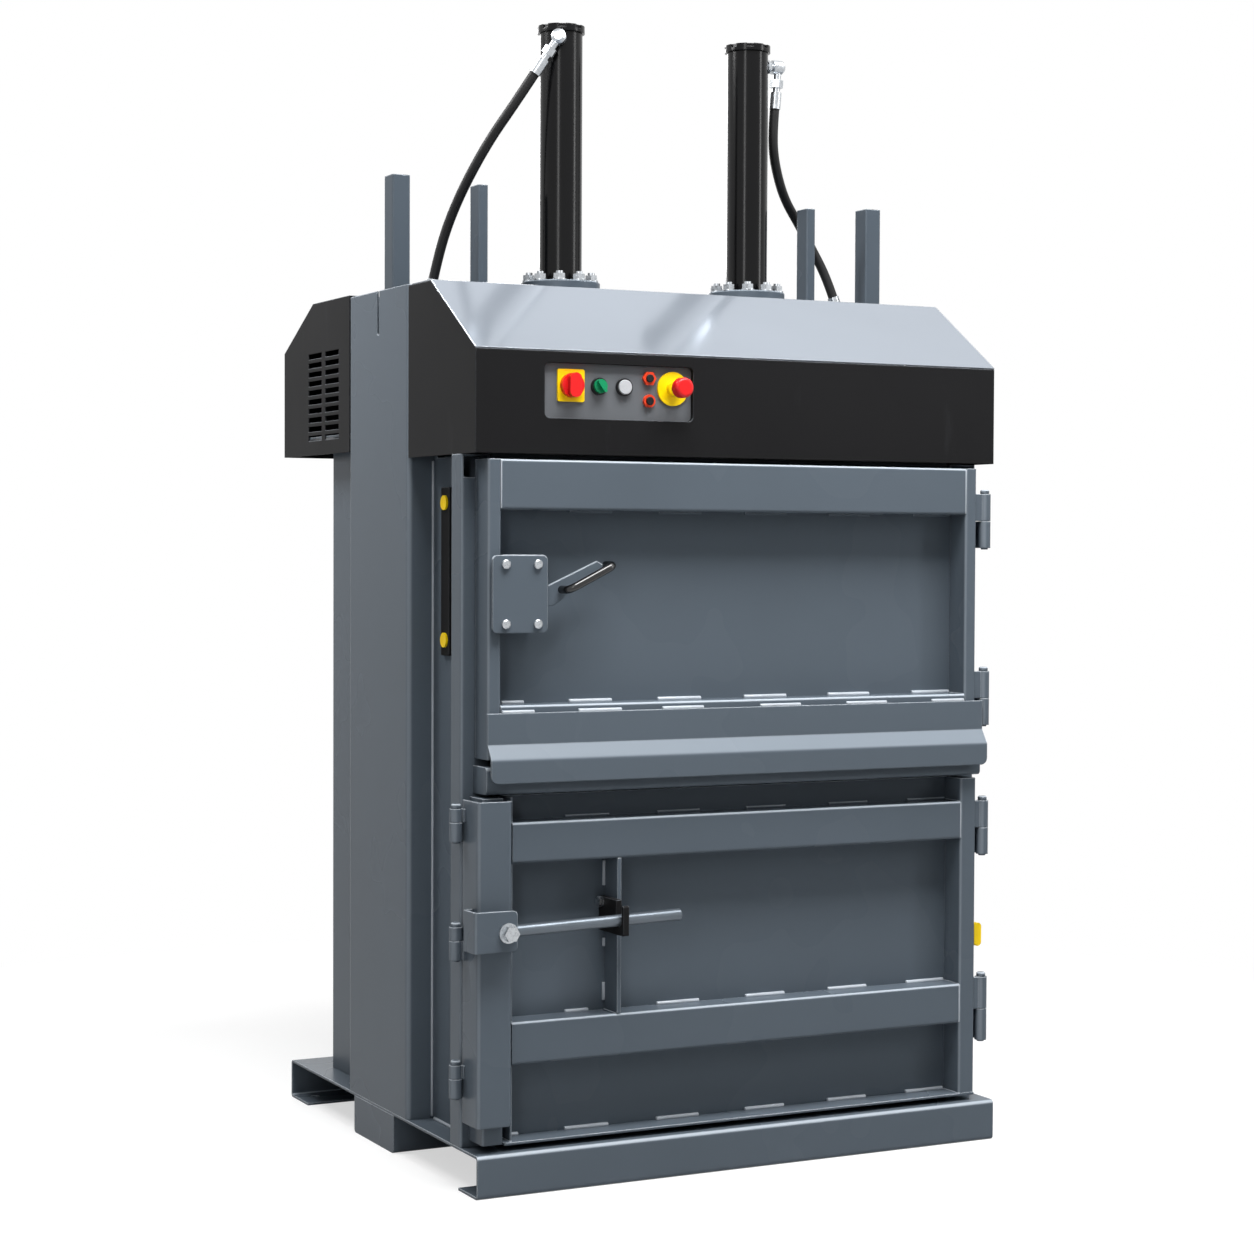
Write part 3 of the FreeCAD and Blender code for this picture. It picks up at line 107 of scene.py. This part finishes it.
def new_group(name, inputs, outputs):
    """Empty node group with float or colour sockets, and its input and output nodes."""
    group = bpy.data.node_groups.new(name, "ShaderNodeTree")
    for label, kind, value in inputs:
        socket = group.interface.new_socket(name=label, in_out="INPUT", socket_type=kind)
        if value is not None:
            socket.default_value = value
    for label, kind in outputs:
        group.interface.new_socket(name=label, in_out="OUTPUT", socket_type=kind)
    return group, group.nodes.new("NodeGroupInput"), group.nodes.new("NodeGroupOutput")


def ranged(tree, source, low, high, from_low=0.0, from_high=1.0):
    """A value mapped to a new range."""
    made = tree.nodes.new("ShaderNodeMapRange")
    made.inputs["From Min"].default_value = from_low
    made.inputs["From Max"].default_value = from_high
    made.inputs["To Min"].default_value = low
    made.inputs["To Max"].default_value = high
    link(tree, source, made.inputs["Value"])
    return made.outputs["Result"]


def combined(tree, operation, first, second):
    """Result of a math node on two sockets."""
    made = node(tree, "ShaderNodeMath", operation=operation)
    link(tree, first, made.inputs[0])
    link(tree, second, made.inputs[1])
    return made.outputs["Value"]


def orange_peel_group():
    """Fine waviness of a sprayed coat, as a height, with slow drift for gloss and colour."""
    group, given, result = new_group(
        "orange_peel",
        [("Scale", "NodeSocketFloat", 400.0), ("Drift Scale", "NodeSocketFloat", 3.0)],
        [("Height", "NodeSocketFloat"), ("Drift", "NodeSocketFloat")])
    place = group.nodes.new("ShaderNodeTexCoord")
    fine = node(group, "ShaderNodeTexNoise", Detail=2.0, Roughness=0.5)
    slow = node(group, "ShaderNodeTexNoise", Detail=3.0, Roughness=0.55)
    link(group, place.outputs["Object"], fine.inputs["Vector"])
    link(group, place.outputs["Object"], slow.inputs["Vector"])
    link(group, given.outputs["Scale"], fine.inputs["Scale"])
    link(group, given.outputs["Drift Scale"], slow.inputs["Scale"])
    link(group, fine.outputs["Fac"], result.inputs["Height"])
    link(group, slow.outputs["Fac"], result.inputs["Drift"])
    return group


# Cosine between the plain and the rounded normal, on a flat face and at a full edge
FLAT_COSINE, EDGE_COSINE = 0.995, 0.80
# Upward part of the rounded normal where light edges begin to show, and where they show fully; only edges
# that face up get them, so they are partly a painted highlight
LIT_FROM, LIT_FULL = -0.3, 0.5
# The same for the painted highlight along sloped top edges, which ends again where the normal points
# straight up
CREST_FROM, CREST_FULL, CREST_FADE, CREST_END = 0.15, 0.45, 0.86, 0.98
# X times Y of the rounded normal at an upright corner, and the strength of the painted highlight that
# such a corner gets
TURN_FROM, TURN_FULL, TURN_LIGHT = 0.15, 0.45, 0.28


def edge_wear_and_highlight_group():
    """Normal rounded at sharp edges, a mask of the light edges that face up (rubbed paint and painted
    highlight), and a mask of painted highlight on corners and sloped top edges.
    """
    group, given, result = new_group(
        "edge_wear_and_highlight",
        [("Width", "NodeSocketFloat", 0.002), ("Strength", "NodeSocketFloat", 1.0)],
        [("Mask", "NodeSocketFloat"), ("Painted Highlight", "NodeSocketFloat"), ("Normal", "NodeSocketVector")])
    bevel = group.nodes.new("ShaderNodeBevel")
    bevel.samples = 4
    plain = group.nodes.new("ShaderNodeNewGeometry")
    dot = node(group, "ShaderNodeVectorMath", operation="DOT_PRODUCT")
    link(group, given.outputs["Width"], bevel.inputs["Radius"])
    link(group, bevel.outputs["Normal"], dot.inputs[0])
    link(group, plain.outputs["Normal"], dot.inputs[1])
    spread = ranged(group, dot.outputs["Value"], 0.0, 1.0, FLAT_COSINE, EDGE_COSINE)
    upright = node(group, "ShaderNodeSeparateXYZ")
    link(group, bevel.outputs["Normal"], upright.inputs[0])
    lit = ranged(group, upright.outputs["Z"], 0.0, 1.0, LIT_FROM, LIT_FULL)
    topped = combined(group, "MULTIPLY", spread, lit)
    link(group, combined(group, "MULTIPLY", topped, given.outputs["Strength"]), result.inputs["Mask"])
    link(group, bevel.outputs["Normal"], result.inputs["Normal"])
    rising = ranged(group, upright.outputs["Z"], 0.0, 1.0, CREST_FROM, CREST_FULL)
    falling = ranged(group, upright.outputs["Z"], 1.0, 0.0, CREST_FADE, CREST_END)
    crest_highlight = combined(group, "MULTIPLY", rising, falling)
    corner = combined(group, "MULTIPLY", upright.outputs["X"], upright.outputs["Y"])
    corner_highlight = ranged(group, corner, 0.0, TURN_LIGHT, TURN_FROM, TURN_FULL)
    link(group, combined(group, "MAXIMUM", crest_highlight, corner_highlight), result.inputs["Painted Highlight"])
    return group


# Noise above the first value shows as a scuff, and above the second fully
SCUFF_FROM, SCUFF_FULL = 0.62, 0.80
UPRIGHT_STREAKS = (1.0, 1.0, 0.18)


def scuff_group():
    """Sparse thin scuffs and specks, as a mask."""
    group, given, result = new_group(
        "scuffs",
        [("Scale", "NodeSocketFloat", 30.0), ("Amount", "NodeSocketFloat", 0.2)],
        [("Mask", "NodeSocketFloat")])
    place = group.nodes.new("ShaderNodeTexCoord")
    stretch = group.nodes.new("ShaderNodeMapping")
    stretch.inputs["Scale"].default_value = UPRIGHT_STREAKS
    streaks = node(group, "ShaderNodeTexNoise", Detail=6.0, Roughness=0.65)
    link(group, place.outputs["Object"], stretch.inputs["Vector"])
    link(group, stretch.outputs["Vector"], streaks.inputs["Vector"])
    link(group, given.outputs["Scale"], streaks.inputs["Scale"])
    spread = ranged(group, streaks.outputs["Fac"], 0.0, 1.0, SCUFF_FROM, SCUFF_FULL)
    scaled = combined(group, "MULTIPLY", spread, given.outputs["Amount"])
    link(group, scaled, result.inputs["Mask"])
    return group


# Widths and bump depths in metres, and pattern scales per metre
EDGE_WIDTH = 0.003
PEEL_DEPTH, STREAK_DEPTH, GRAIN_DEPTH = 0.0004, 0.0002, 0.0003
PAINT_DRIFT_SCALE, PLASTIC_DRIFT_SCALE, SCUFF_SCALE = 2.2, 18.0, 26.0
NOISE_LOW, NOISE_HIGH = 0.3, 0.7
ORANGE_PEEL = orange_peel_group()
EDGE_WEAR_AND_HIGHLIGHT = edge_wear_and_highlight_group()
SCUFFS = scuff_group()


def linear(red, green, blue):
    """Colour as it shows on a screen, 0 to 255, as linear light."""
    def channel(value):
        value /= 255.0
        return value / 12.92 if value <= 0.04045 else ((value + 0.055) / 1.055) ** 2.4
    return (channel(red), channel(green), channel(blue), 1.0)


def shaded(colour, factor):
    """The same colour, darker or lighter."""
    return tuple(min(1.0, channel * factor) for channel in colour[:3]) + (1.0,)


def noisy(tree, noise, low, high):
    """Noise, most of which lies between its low and high value, spread over a new range."""
    return ranged(tree, noise, low, high, NOISE_LOW, NOISE_HIGH)


def group_node(tree, group, **values):
    """A placed node group with its own values."""
    made = tree.nodes.new("ShaderNodeGroup")
    made.node_tree = group
    for key, value in values.items():
        made.inputs[key.replace("_", " ")].default_value = value
    return made


# Mix nodes have several sockets of one name, so the colour ones are taken by their place
def mixed(tree, factor, first, second):
    """Colour mix by socket place: factor 0, colours 6 and 7, result 2."""
    made = tree.nodes.new("ShaderNodeMix")
    made.data_type = "RGBA"
    for place, value in ((0, factor), (6, first), (7, second)):
        if isinstance(value, bpy.types.NodeSocket):
            link(tree, value, made.inputs[place])
        else:
            made.inputs[place].default_value = value
    return made.outputs[2]


def new_material(name):
    """Material with its node tree and its Principled shader."""
    material = bpy.data.materials.new(name)
    material.use_nodes = True
    tree = material.node_tree
    return material, tree, tree.nodes["Principled BSDF"]


def bumped(tree, shader, height, strength, distance):
    """Bump from a height into the shader's normal."""
    bump = tree.nodes.new("ShaderNodeBump")
    bump.inputs["Strength"].default_value = strength
    bump.inputs["Distance"].default_value = distance
    link(tree, height, bump.inputs["Height"])
    link(tree, bump.outputs["Normal"], shader.inputs["Normal"])
    return bump


def sprayed_metal(name, colour, wear_and_highlight_colour, rough, drift=0.08, peel=0.06, wear_and_highlight=0.5, scuffs=0.15,
                  peel_scale=420.0, specular=0.5, crest_highlight=None, metallic=0.0):
    """Sprayed or powder-coated steel: slow drift of tone, light edges that are partly rubbed paint and
    partly painted highlight, a painted highlight on corners and sloped top edges when its colour is
    given, faint scuffs and orange peel.
    """
    material, tree, shader = new_material(name)
    peel_node = group_node(tree, ORANGE_PEEL, Scale=peel_scale, Drift_Scale=PAINT_DRIFT_SCALE)
    wear_and_highlight_node = group_node(tree, EDGE_WEAR_AND_HIGHLIGHT, Width=EDGE_WIDTH, Strength=wear_and_highlight)
    scuff_node = group_node(tree, SCUFFS, Scale=SCUFF_SCALE, Amount=scuffs)
    tone = noisy(tree, peel_node.outputs["Drift"], 0.0, 1.0)
    drifted = mixed(tree, tone, shaded(colour, 1.0 - drift), shaded(colour, 1.0 + drift))
    scuffed = mixed(tree, scuff_node.outputs["Mask"], drifted, wear_and_highlight_colour)
    # Painted highlight on corners and sloped top edges
    if crest_highlight:
        scuffed = mixed(tree, wear_and_highlight_node.outputs["Painted Highlight"], scuffed, crest_highlight)
    # Light edges: partly rubbed paint, partly a painted highlight where the edges face up
    worn_and_lit = mixed(tree, wear_and_highlight_node.outputs["Mask"], scuffed, wear_and_highlight_colour)
    link(tree, worn_and_lit, shader.inputs["Base Color"])
    gloss = noisy(tree, peel_node.outputs["Drift"], rough - 0.05, rough + 0.06)
    link(tree, gloss, shader.inputs["Roughness"])
    bump = bumped(tree, shader, peel_node.outputs["Height"], peel, PEEL_DEPTH)
    link(tree, wear_and_highlight_node.outputs["Normal"], bump.inputs["Normal"])
    shader.inputs["Metallic"].default_value = metallic
    shader.inputs["Specular IOR Level"].default_value = specular
    return material


def bare_metal(name, colour, rough, brushed=(1.0, 1.0, 1.0), scale=120.0, metallic=1.0):
    """Plated or drawn metal with fine brushed streaks."""
    material, tree, shader = new_material(name)
    place = tree.nodes.new("ShaderNodeTexCoord")
    stretch = tree.nodes.new("ShaderNodeMapping")
    stretch.inputs["Scale"].default_value = brushed
    streaks = node(tree, "ShaderNodeTexNoise", Scale=scale, Detail=5.0, Roughness=0.6)
    link(tree, place.outputs["Object"], stretch.inputs["Vector"])
    link(tree, stretch.outputs["Vector"], streaks.inputs["Vector"])
    tone = noisy(tree, streaks.outputs["Fac"], 0.0, 1.0)
    link(tree, mixed(tree, tone, shaded(colour, 0.82), colour), shader.inputs["Base Color"])
    gloss = noisy(tree, streaks.outputs["Fac"], rough - 0.07, rough + 0.09)
    link(tree, gloss, shader.inputs["Roughness"])
    bumped(tree, shader, streaks.outputs["Fac"], 0.08, STREAK_DEPTH)
    shader.inputs["Metallic"].default_value = metallic
    return material


def moulded(name, colour, rough, grain=0.04, grain_scale=900.0, specular=0.5):
    """Moulded plastic or rubber with a fine grain and a slight drift of tone."""
    material, tree, shader = new_material(name)
    grain_node = group_node(tree, ORANGE_PEEL, Scale=grain_scale, Drift_Scale=PLASTIC_DRIFT_SCALE)
    tone = noisy(tree, grain_node.outputs["Drift"], 0.0, 1.0)
    link(tree, mixed(tree, tone, shaded(colour, 0.90), colour), shader.inputs["Base Color"])
    gloss = noisy(tree, grain_node.outputs["Drift"], rough - 0.04, rough + 0.05)
    link(tree, gloss, shader.inputs["Roughness"])
    bumped(tree, shader, grain_node.outputs["Height"], grain, GRAIN_DEPTH)
    shader.inputs["Specular IOR Level"].default_value = specular
    return material


# Paints have a name, a colour, the colour of worn edges and a roughness; the rest has no edge colour. The
# edge colour also paints a highlight on edges that face up, and the crest colour is a painted highlight
# on corners and sloped top edges
GREY = sprayed_metal("grey_paint", linear(87, 96, 105), linear(205, 212, 220), 0.26,
                     drift=0.04, wear_and_highlight=1.0, scuffs=0.006, specular=0.07, crest_highlight=linear(172, 181, 190))
APRON = sprayed_metal("apron_paint", linear(89, 98, 107), linear(200, 208, 216), 0.26,
                      drift=0.04, wear_and_highlight=1.0, scuffs=0.02, specular=0.07, crest_highlight=linear(125, 134, 143))
DARK_GREY = sprayed_metal("dark_grey_paint", linear(68, 76, 84), linear(170, 178, 186), 0.28,
                          drift=0.05, wear_and_highlight=0.8, scuffs=0.06, specular=0.07, crest_highlight=linear(104, 112, 120))
BLACK = sprayed_metal("black_paint", linear(31, 31, 32), linear(130, 134, 140), 0.36,
                      drift=0.05, wear_and_highlight=0.8, scuffs=0.03, specular=0.025)
SLOPE = sprayed_metal("light_grey_gloss", linear(136, 143, 152), linear(225, 230, 236), 0.11,
                      drift=0.03, peel=0.01, wear_and_highlight=0.5, scuffs=0.01, specular=0.5, metallic=0.45)
PANEL = sprayed_metal("panel_grey", linear(98, 101, 105), linear(140, 143, 147), 0.50,
                      drift=0.03, wear_and_highlight=0.2, specular=0.2)
GLOSS_BLACK = sprayed_metal("gloss_black", linear(6, 6, 7), linear(60, 60, 62), 0.17,
                            drift=0.05, peel=0.015, wear_and_highlight=0.15, scuffs=0.02, specular=0.20)
# Weld beads that catch the light take this lighter grey, a painted highlight; beads in shade take the
# plain grey paint
LIT_WELD = sprayed_metal("lit_weld_paint", linear(172, 179, 187), linear(215, 221, 228), 0.24,
                     drift=0.10, peel=0.5, peel_scale=260.0, wear_and_highlight=0.3, scuffs=0.0, specular=0.45)
MOTOR = sprayed_metal("motor_grey", linear(88, 96, 104), linear(120, 128, 136), 0.5,
                      drift=0.05, specular=0.3)
ZINC = bare_metal("zinc", linear(190, 194, 198), 0.28, scale=160.0, metallic=0.95)
BRIGHT = bare_metal("bright_steel", linear(98, 106, 114), 0.34,
                    brushed=(0.06, 1.0, 1.0), scale=260.0, metallic=0.55)
CHROME = bare_metal("chrome_rod", linear(225, 227, 230), 0.12, brushed=(1.0, 1.0, 0.05), scale=200.0)
CAST = bare_metal("cast_metal", linear(110, 112, 116), 0.5, scale=90.0, metallic=0.6)
GRIP = moulded("grip_plastic", linear(14, 14, 15), 0.18, grain=0.02, specular=0.6)
DARK = moulded("dark_plastic", linear(24, 24, 26), 0.42, specular=0.2)
YELLOW = moulded("yellow_plastic", linear(252, 214, 6), 0.34, specular=0.3)
RED = moulded("red_plastic", linear(226, 30, 32), 0.28, specular=0.3)
ORANGE = moulded("orange_plastic", linear(228, 66, 32), 0.32, specular=0.3)
GREEN = moulded("green_plastic", linear(8, 140, 90), 0.34, specular=0.3)
WHITE = moulded("white_plastic", linear(186, 188, 192), 0.30, specular=0.3)
RUBBER = moulded("black_rubber", linear(24, 24, 25), 0.48, grain=0.15, grain_scale=500.0, specular=0.2)

SLOT_MATERIALS = {
    "grey_paint": GREY, "black_paint": BLACK, "light_grey_gloss": SLOPE, "panel_grey": PANEL,
    "gloss_black": GLOSS_BLACK, "motor_grey": MOTOR, "zinc": ZINC, "bright_steel": BRIGHT,
    "chrome_rod": CHROME, "cast_metal": CAST, "dark_plastic": DARK, "yellow_plastic": YELLOW,
    "red_plastic": RED, "orange_plastic": ORANGE, "green_plastic": GREEN, "white_plastic": WHITE,
    "black_rubber": RUBBER}

# Nodes whose finish differs from the rest of their slot
NODE_MATERIALS = {"latch_grip": GRIP, "upper_door_apron": APRON, "guide_bars": DARK_GREY,
                  "cylinder_flanges": DARK_GREY}


def dress_cad_nodes():
    """Each CAD node takes its own finish, or that of its material slot."""
    slots = {part["node"]: part["material_slot"] for part in frame["record"]["subparts"]}
    for name, obj in NODES.items():
        obj.data.materials.clear()
        obj.data.materials.append(NODE_MATERIALS.get(name, SLOT_MATERIALS[slots[name]]))


dress_cad_nodes()

# ------------------------------------------------------------------ hoses

HOSE_RADIUS = 10.0
LEFT_HOSE = ((281, 375, 2119), (248, 395, 2061), (213, 439, 1993), (182, 487, 1911), (163, 525, 1840),
             (150, 546, 1776), (142, 556, 1725))
RIGHT_HOSE = ((843, 403, 2098), (840, 404, 2055), (846, 412, 2007), (871, 435, 1961), (908, 468, 1921),
              (949, 487, 1881), (986, 487, 1825), (1016, 478, 1767), (1030, 472, 1723))


def hose(name, cad_node, points):
    """Rubber hose on its route, from the ferrule at the cylinder to the union on the cross-head."""
    curve = bpy.data.curves.new(name, "CURVE")
    curve.dimensions = "3D"
    curve.bevel_depth = HOSE_RADIUS * MM
    curve.bevel_resolution = 5
    curve.resolution_u = 24
    curve.use_fill_caps = True
    spline = curve.splines.new("NURBS")
    spline.points.add(len(points) - 1)
    for point, place in zip(spline.points, points):
        point.co = (*mm(*place), 1.0)
    spline.order_u = 3
    spline.use_endpoint_u = True
    obj = bpy.data.objects.new(name, curve)
    bpy.context.scene.collection.objects.link(obj)
    curve.materials.append(RUBBER)
    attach(obj, "frame")
    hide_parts(cad_node)


hose("left_rubber_hose", "left_hose", LEFT_HOSE)
hose("right_rubber_hose", "right_hose", RIGHT_HOSE)

# ------------------------------------------------------------------ weld beads

# Places in millimetres from the base's front left corner
PANEL_WELD_Y = 71.0
BEAM_FOOT_Y = 71.5
APRON_WELD_Y = 17.0
SEAM_Y = 18.6
STIFFENER_X = 289.5
UPPER_SEAM_XS = (52.0, 1065.0)
LOWER_SEAM_X = 1058.5
UPPER_DOOR_FOOT_Z, UPPER_DOOR_HEAD_Z, APRON_EDGE_Z = 899.5, 1254.0, 885.5
LOWER_DOOR_FOOT_Z, MIDDLE_BEAM_Z, UPPER_BEAM_Z = 97.5, 318.0, 684.5
COLUMN_FACE_Y = 336.5
CHAMBER_SEAM_SPAN = (84, 1352)
BASE_SEAM_Z = 82.0
BASE_SEAM_START, BASE_SEAM_END = 150, 322
CHAMBER_SIDES = ((50.8, 50.0), (1079.2, 1080.0))
PANEL_SPANS = ((214, 303), (401, 494), (589, 683), (778, 873), (974, 1062))
DOOR_SPANS = ((208, 299), (402, 493), (596, 683), (783, 871), (966, 1054))
APRON_SPANS = ((53, 118), (208, 297), (383, 471), (595, 684), (788, 880), (986, 1062))
WELD_RADIUS, APRON_RADIUS, SMALL_RADIUS, CHAMBER_RADIUS, SEAM_RADIUS = 4.5, 4.0, 3.5, 2.6, 1.6
BEAD_SIDES = 12
BEAD_END_SHARE, BEAD_END_STEPS = 0.8, 3
SMOOTH_ANGLE = math.radians(35)


def bead(start, end, radius):
    """One run of weld: a roll between two points, rounded at both ends."""
    first, last = mm(*start), mm(*end)
    along = last - first
    bpy.ops.object.select_all(action="DESELECT")
    bpy.ops.mesh.primitive_cylinder_add(vertices=BEAD_SIDES, radius=radius * MM, depth=along.length)
    obj = bpy.context.active_object
    bpy.ops.object.mode_set(mode="EDIT")
    bpy.ops.mesh.select_all(action="SELECT")
    bpy.ops.mesh.bevel(offset=radius * BEAD_END_SHARE * MM, segments=BEAD_END_STEPS, affect="EDGES",
                       clamp_overlap=True)
    bpy.ops.object.mode_set(mode="OBJECT")
    obj.rotation_euler = along.to_track_quat("Z", "Y").to_euler()
    obj.location = (first + last) / 2
    bpy.ops.object.transform_apply(location=True, rotation=True, scale=True)
    return obj


def welds(name, body, beads, material=LIT_WELD):
    """Beads joined into one finished piece at the origin, with its material and body."""
    bpy.ops.object.select_all(action="DESELECT")
    for piece in beads:
        piece.select_set(True)
    obj = beads[0]
    bpy.context.view_layer.objects.active = obj
    bpy.ops.object.join()
    bpy.ops.object.transform_apply(location=True, rotation=True, scale=True)
    bpy.ops.object.shade_smooth_by_angle(angle=SMOOTH_ANGLE)
    obj.name = name
    obj.data.name = name
    obj.data.materials.clear()
    obj.data.materials.append(material)
    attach(obj, body)


def weld_row(name, body, spans, y, z, radius, material=LIT_WELD):
    """Short welds in a row along X."""
    welds(name, body, [bead((x0, y, z), (x1, y, z), radius) for x0, x1 in spans], material)


def upright_beads(x, y, spans, radius):
    """Welds along Z at one place."""
    return [bead((x, y, low), (x, y, high), radius) for low, high in spans]


# Most beads take the lighter grey of a painted highlight; the rows in shade under the upper door's head
# rail and on the upper beam take the plain grey
weld_row("upper_door_foot_welds", "upper_door", ((76, 121),) + PANEL_SPANS,
         PANEL_WELD_Y, UPPER_DOOR_FOOT_Z, WELD_RADIUS)
weld_row("apron_edge_welds", "upper_door", APRON_SPANS, APRON_WELD_Y, APRON_EDGE_Z, APRON_RADIUS)
weld_row("upper_door_head_welds", "upper_door", PANEL_SPANS,
         BEAM_FOOT_Y, UPPER_DOOR_HEAD_Z, SMALL_RADIUS, GREY)
weld_row("middle_beam_welds", "lower_door", ((80, 90), (208, 256)) + DOOR_SPANS[1:],
         PANEL_WELD_Y, MIDDLE_BEAM_Z, WELD_RADIUS)
weld_row("lower_door_foot_welds", "lower_door", ((84, 112),) + DOOR_SPANS,
         PANEL_WELD_Y, LOWER_DOOR_FOOT_Z, WELD_RADIUS)
weld_row("upper_beam_welds", "lower_door", DOOR_SPANS, BEAM_FOOT_Y, UPPER_BEAM_Z, SMALL_RADIUS, GREY)
welds("stiffener_welds", "lower_door",
      upright_beads(STIFFENER_X, BEAM_FOOT_Y, ((334, 368), (436, 452), (551, 598)), SMALL_RADIUS))
welds("upper_door_corner_seams", "upper_door",
      [seam for x in UPPER_SEAM_XS for seam in upright_beads(x, SEAM_Y, ((1257, 1344),), SEAM_RADIUS)])
welds("lower_door_corner_seams", "lower_door",
      upright_beads(LOWER_SEAM_X, SEAM_Y, ((610, 681), (240, 315)), SEAM_RADIUS))
chamber_beads = []
for seam_x, foot_x in CHAMBER_SIDES:
    chamber_beads += upright_beads(seam_x, COLUMN_FACE_Y, (CHAMBER_SEAM_SPAN,), CHAMBER_RADIUS)
    foot_start, foot_end = ((foot_x, y, BASE_SEAM_Z) for y in (BASE_SEAM_START, BASE_SEAM_END))
    chamber_beads.append(bead(foot_start, foot_end, SMALL_RADIUS))
welds("chamber_wall_seams", "frame", chamber_beads)

# ------------------------------------------------------------------ floor and light

FLOOR_TONE = 0.45
FLOOR_GLOW = 0.60
FLOOR_SIZE = 40.0
FADE_START, FADE_END = 1.1, 2.6
WORLD_LIGHT = 0.03
WHITE_LIGHT = (1.0, 1.0, 1.0, 1.0)


def shown_to_viewer(tree):
    """Value that is 1 for camera, glossy and transmission rays, so that metal shows white too."""
    paths = tree.nodes.new("ShaderNodeLightPath")
    total = paths.outputs["Is Camera Ray"]
    for name in ("Is Glossy Ray", "Is Transmission Ray"):
        total = combined(tree, "MAXIMUM", total, paths.outputs[name])
    return total


def build_floor():
    """Pale floor: it keeps the machine's shadow near its foot and fades into the white background."""
    bpy.ops.object.select_all(action="DESELECT")
    bpy.ops.mesh.primitive_plane_add(size=FLOOR_SIZE, location=(0.0, 0.0, 0.0))
    floor = bpy.context.active_object
    floor.name = "floor"
    material, tree, shader = new_material("floor_white")
    shader.inputs["Base Color"].default_value = (FLOOR_TONE, FLOOR_TONE, FLOOR_TONE, 1.0)
    shader.inputs["Roughness"].default_value = 0.9
    shader.inputs["Specular IOR Level"].default_value = 0.0
    glow = node(tree, "ShaderNodeEmission", Strength=FLOOR_GLOW)
    both = tree.nodes.new("ShaderNodeAddShader")
    link(tree, shader.outputs[0], both.inputs[0])
    link(tree, glow.outputs[0], both.inputs[1])
    white = node(tree, "ShaderNodeEmission", Strength=1.0)
    place = tree.nodes.new("ShaderNodeTexCoord")
    length = node(tree, "ShaderNodeVectorMath", operation="LENGTH")
    link(tree, place.outputs["Object"], length.inputs[0])
    fade = ranged(tree, length.outputs["Value"], 0.0, 1.0, FADE_START, FADE_END)
    seen = tree.nodes.new("ShaderNodeMixShader")
    link(tree, fade, seen.inputs[0])
    link(tree, both.outputs[0], seen.inputs[1])
    link(tree, white.outputs[0], seen.inputs[2])
    chosen = tree.nodes.new("ShaderNodeMixShader")
    link(tree, shown_to_viewer(tree), chosen.inputs[0])
    link(tree, shader.outputs[0], chosen.inputs[1])
    link(tree, seen.outputs[0], chosen.inputs[2])
    link(tree, chosen.outputs[0], tree.nodes["Material Output"].inputs["Surface"])
    floor.data.materials.append(material)


def build_world():
    """White background for the camera and for reflections, with a lower even light."""
    world = bpy.data.worlds.new("studio")
    bpy.context.scene.world = world
    world.use_nodes = True
    tree = world.node_tree
    soft = tree.nodes["Background"]
    soft.inputs["Color"].default_value = WHITE_LIGHT
    soft.inputs["Strength"].default_value = WORLD_LIGHT
    white = tree.nodes.new("ShaderNodeBackground")
    white.inputs["Color"].default_value = WHITE_LIGHT
    white.inputs["Strength"].default_value = 1.0
    mix = tree.nodes.new("ShaderNodeMixShader")
    link(tree, shown_to_viewer(tree), mix.inputs[0])
    link(tree, soft.outputs[0], mix.inputs[1])
    link(tree, white.outputs[0], mix.inputs[2])
    link(tree, mix.outputs[0], tree.nodes["World Output"].inputs["Surface"])


def area_lamp(name, place, target, size, power):
    """Soft rectangular lamp aimed at a point."""
    data = bpy.data.lights.new(name, "AREA")
    data.shape = "RECTANGLE"
    data.size, data.size_y = size
    data.energy = power
    lamp = bpy.data.objects.new(name, data)
    bpy.context.scene.collection.objects.link(lamp)
    lamp.location = place
    lamp.rotation_euler = (Vector(target) - Vector(place)).to_track_quat("-Z", "Y").to_euler()


build_floor()
build_world()
area_lamp("key", (0.2, -1.7, 4.4), (0.0, -0.1, 1.0), (3.4, 1.4), 305.0)
area_lamp("left", (-1.7, 0.6, 3.0), (-0.5, 0.2, 1.5), (0.6, 0.9), 45.0)
area_lamp("left_strip", (-2.8, -3.4, 2.6), (0.0, 0.0, 2.0), (0.50, 2.4), 30.0)
area_lamp("right_strip", (3.0, -2.4, 2.6), (0.0, 0.0, 2.0), (0.50, 2.4), 34.0)
area_lamp("back", (0.8, 4.6, 3.2), (0.0, 0.3, 1.0), (2.4, 2.0), 90.0)

bpy.context.scene.view_settings.view_transform = "Standard"
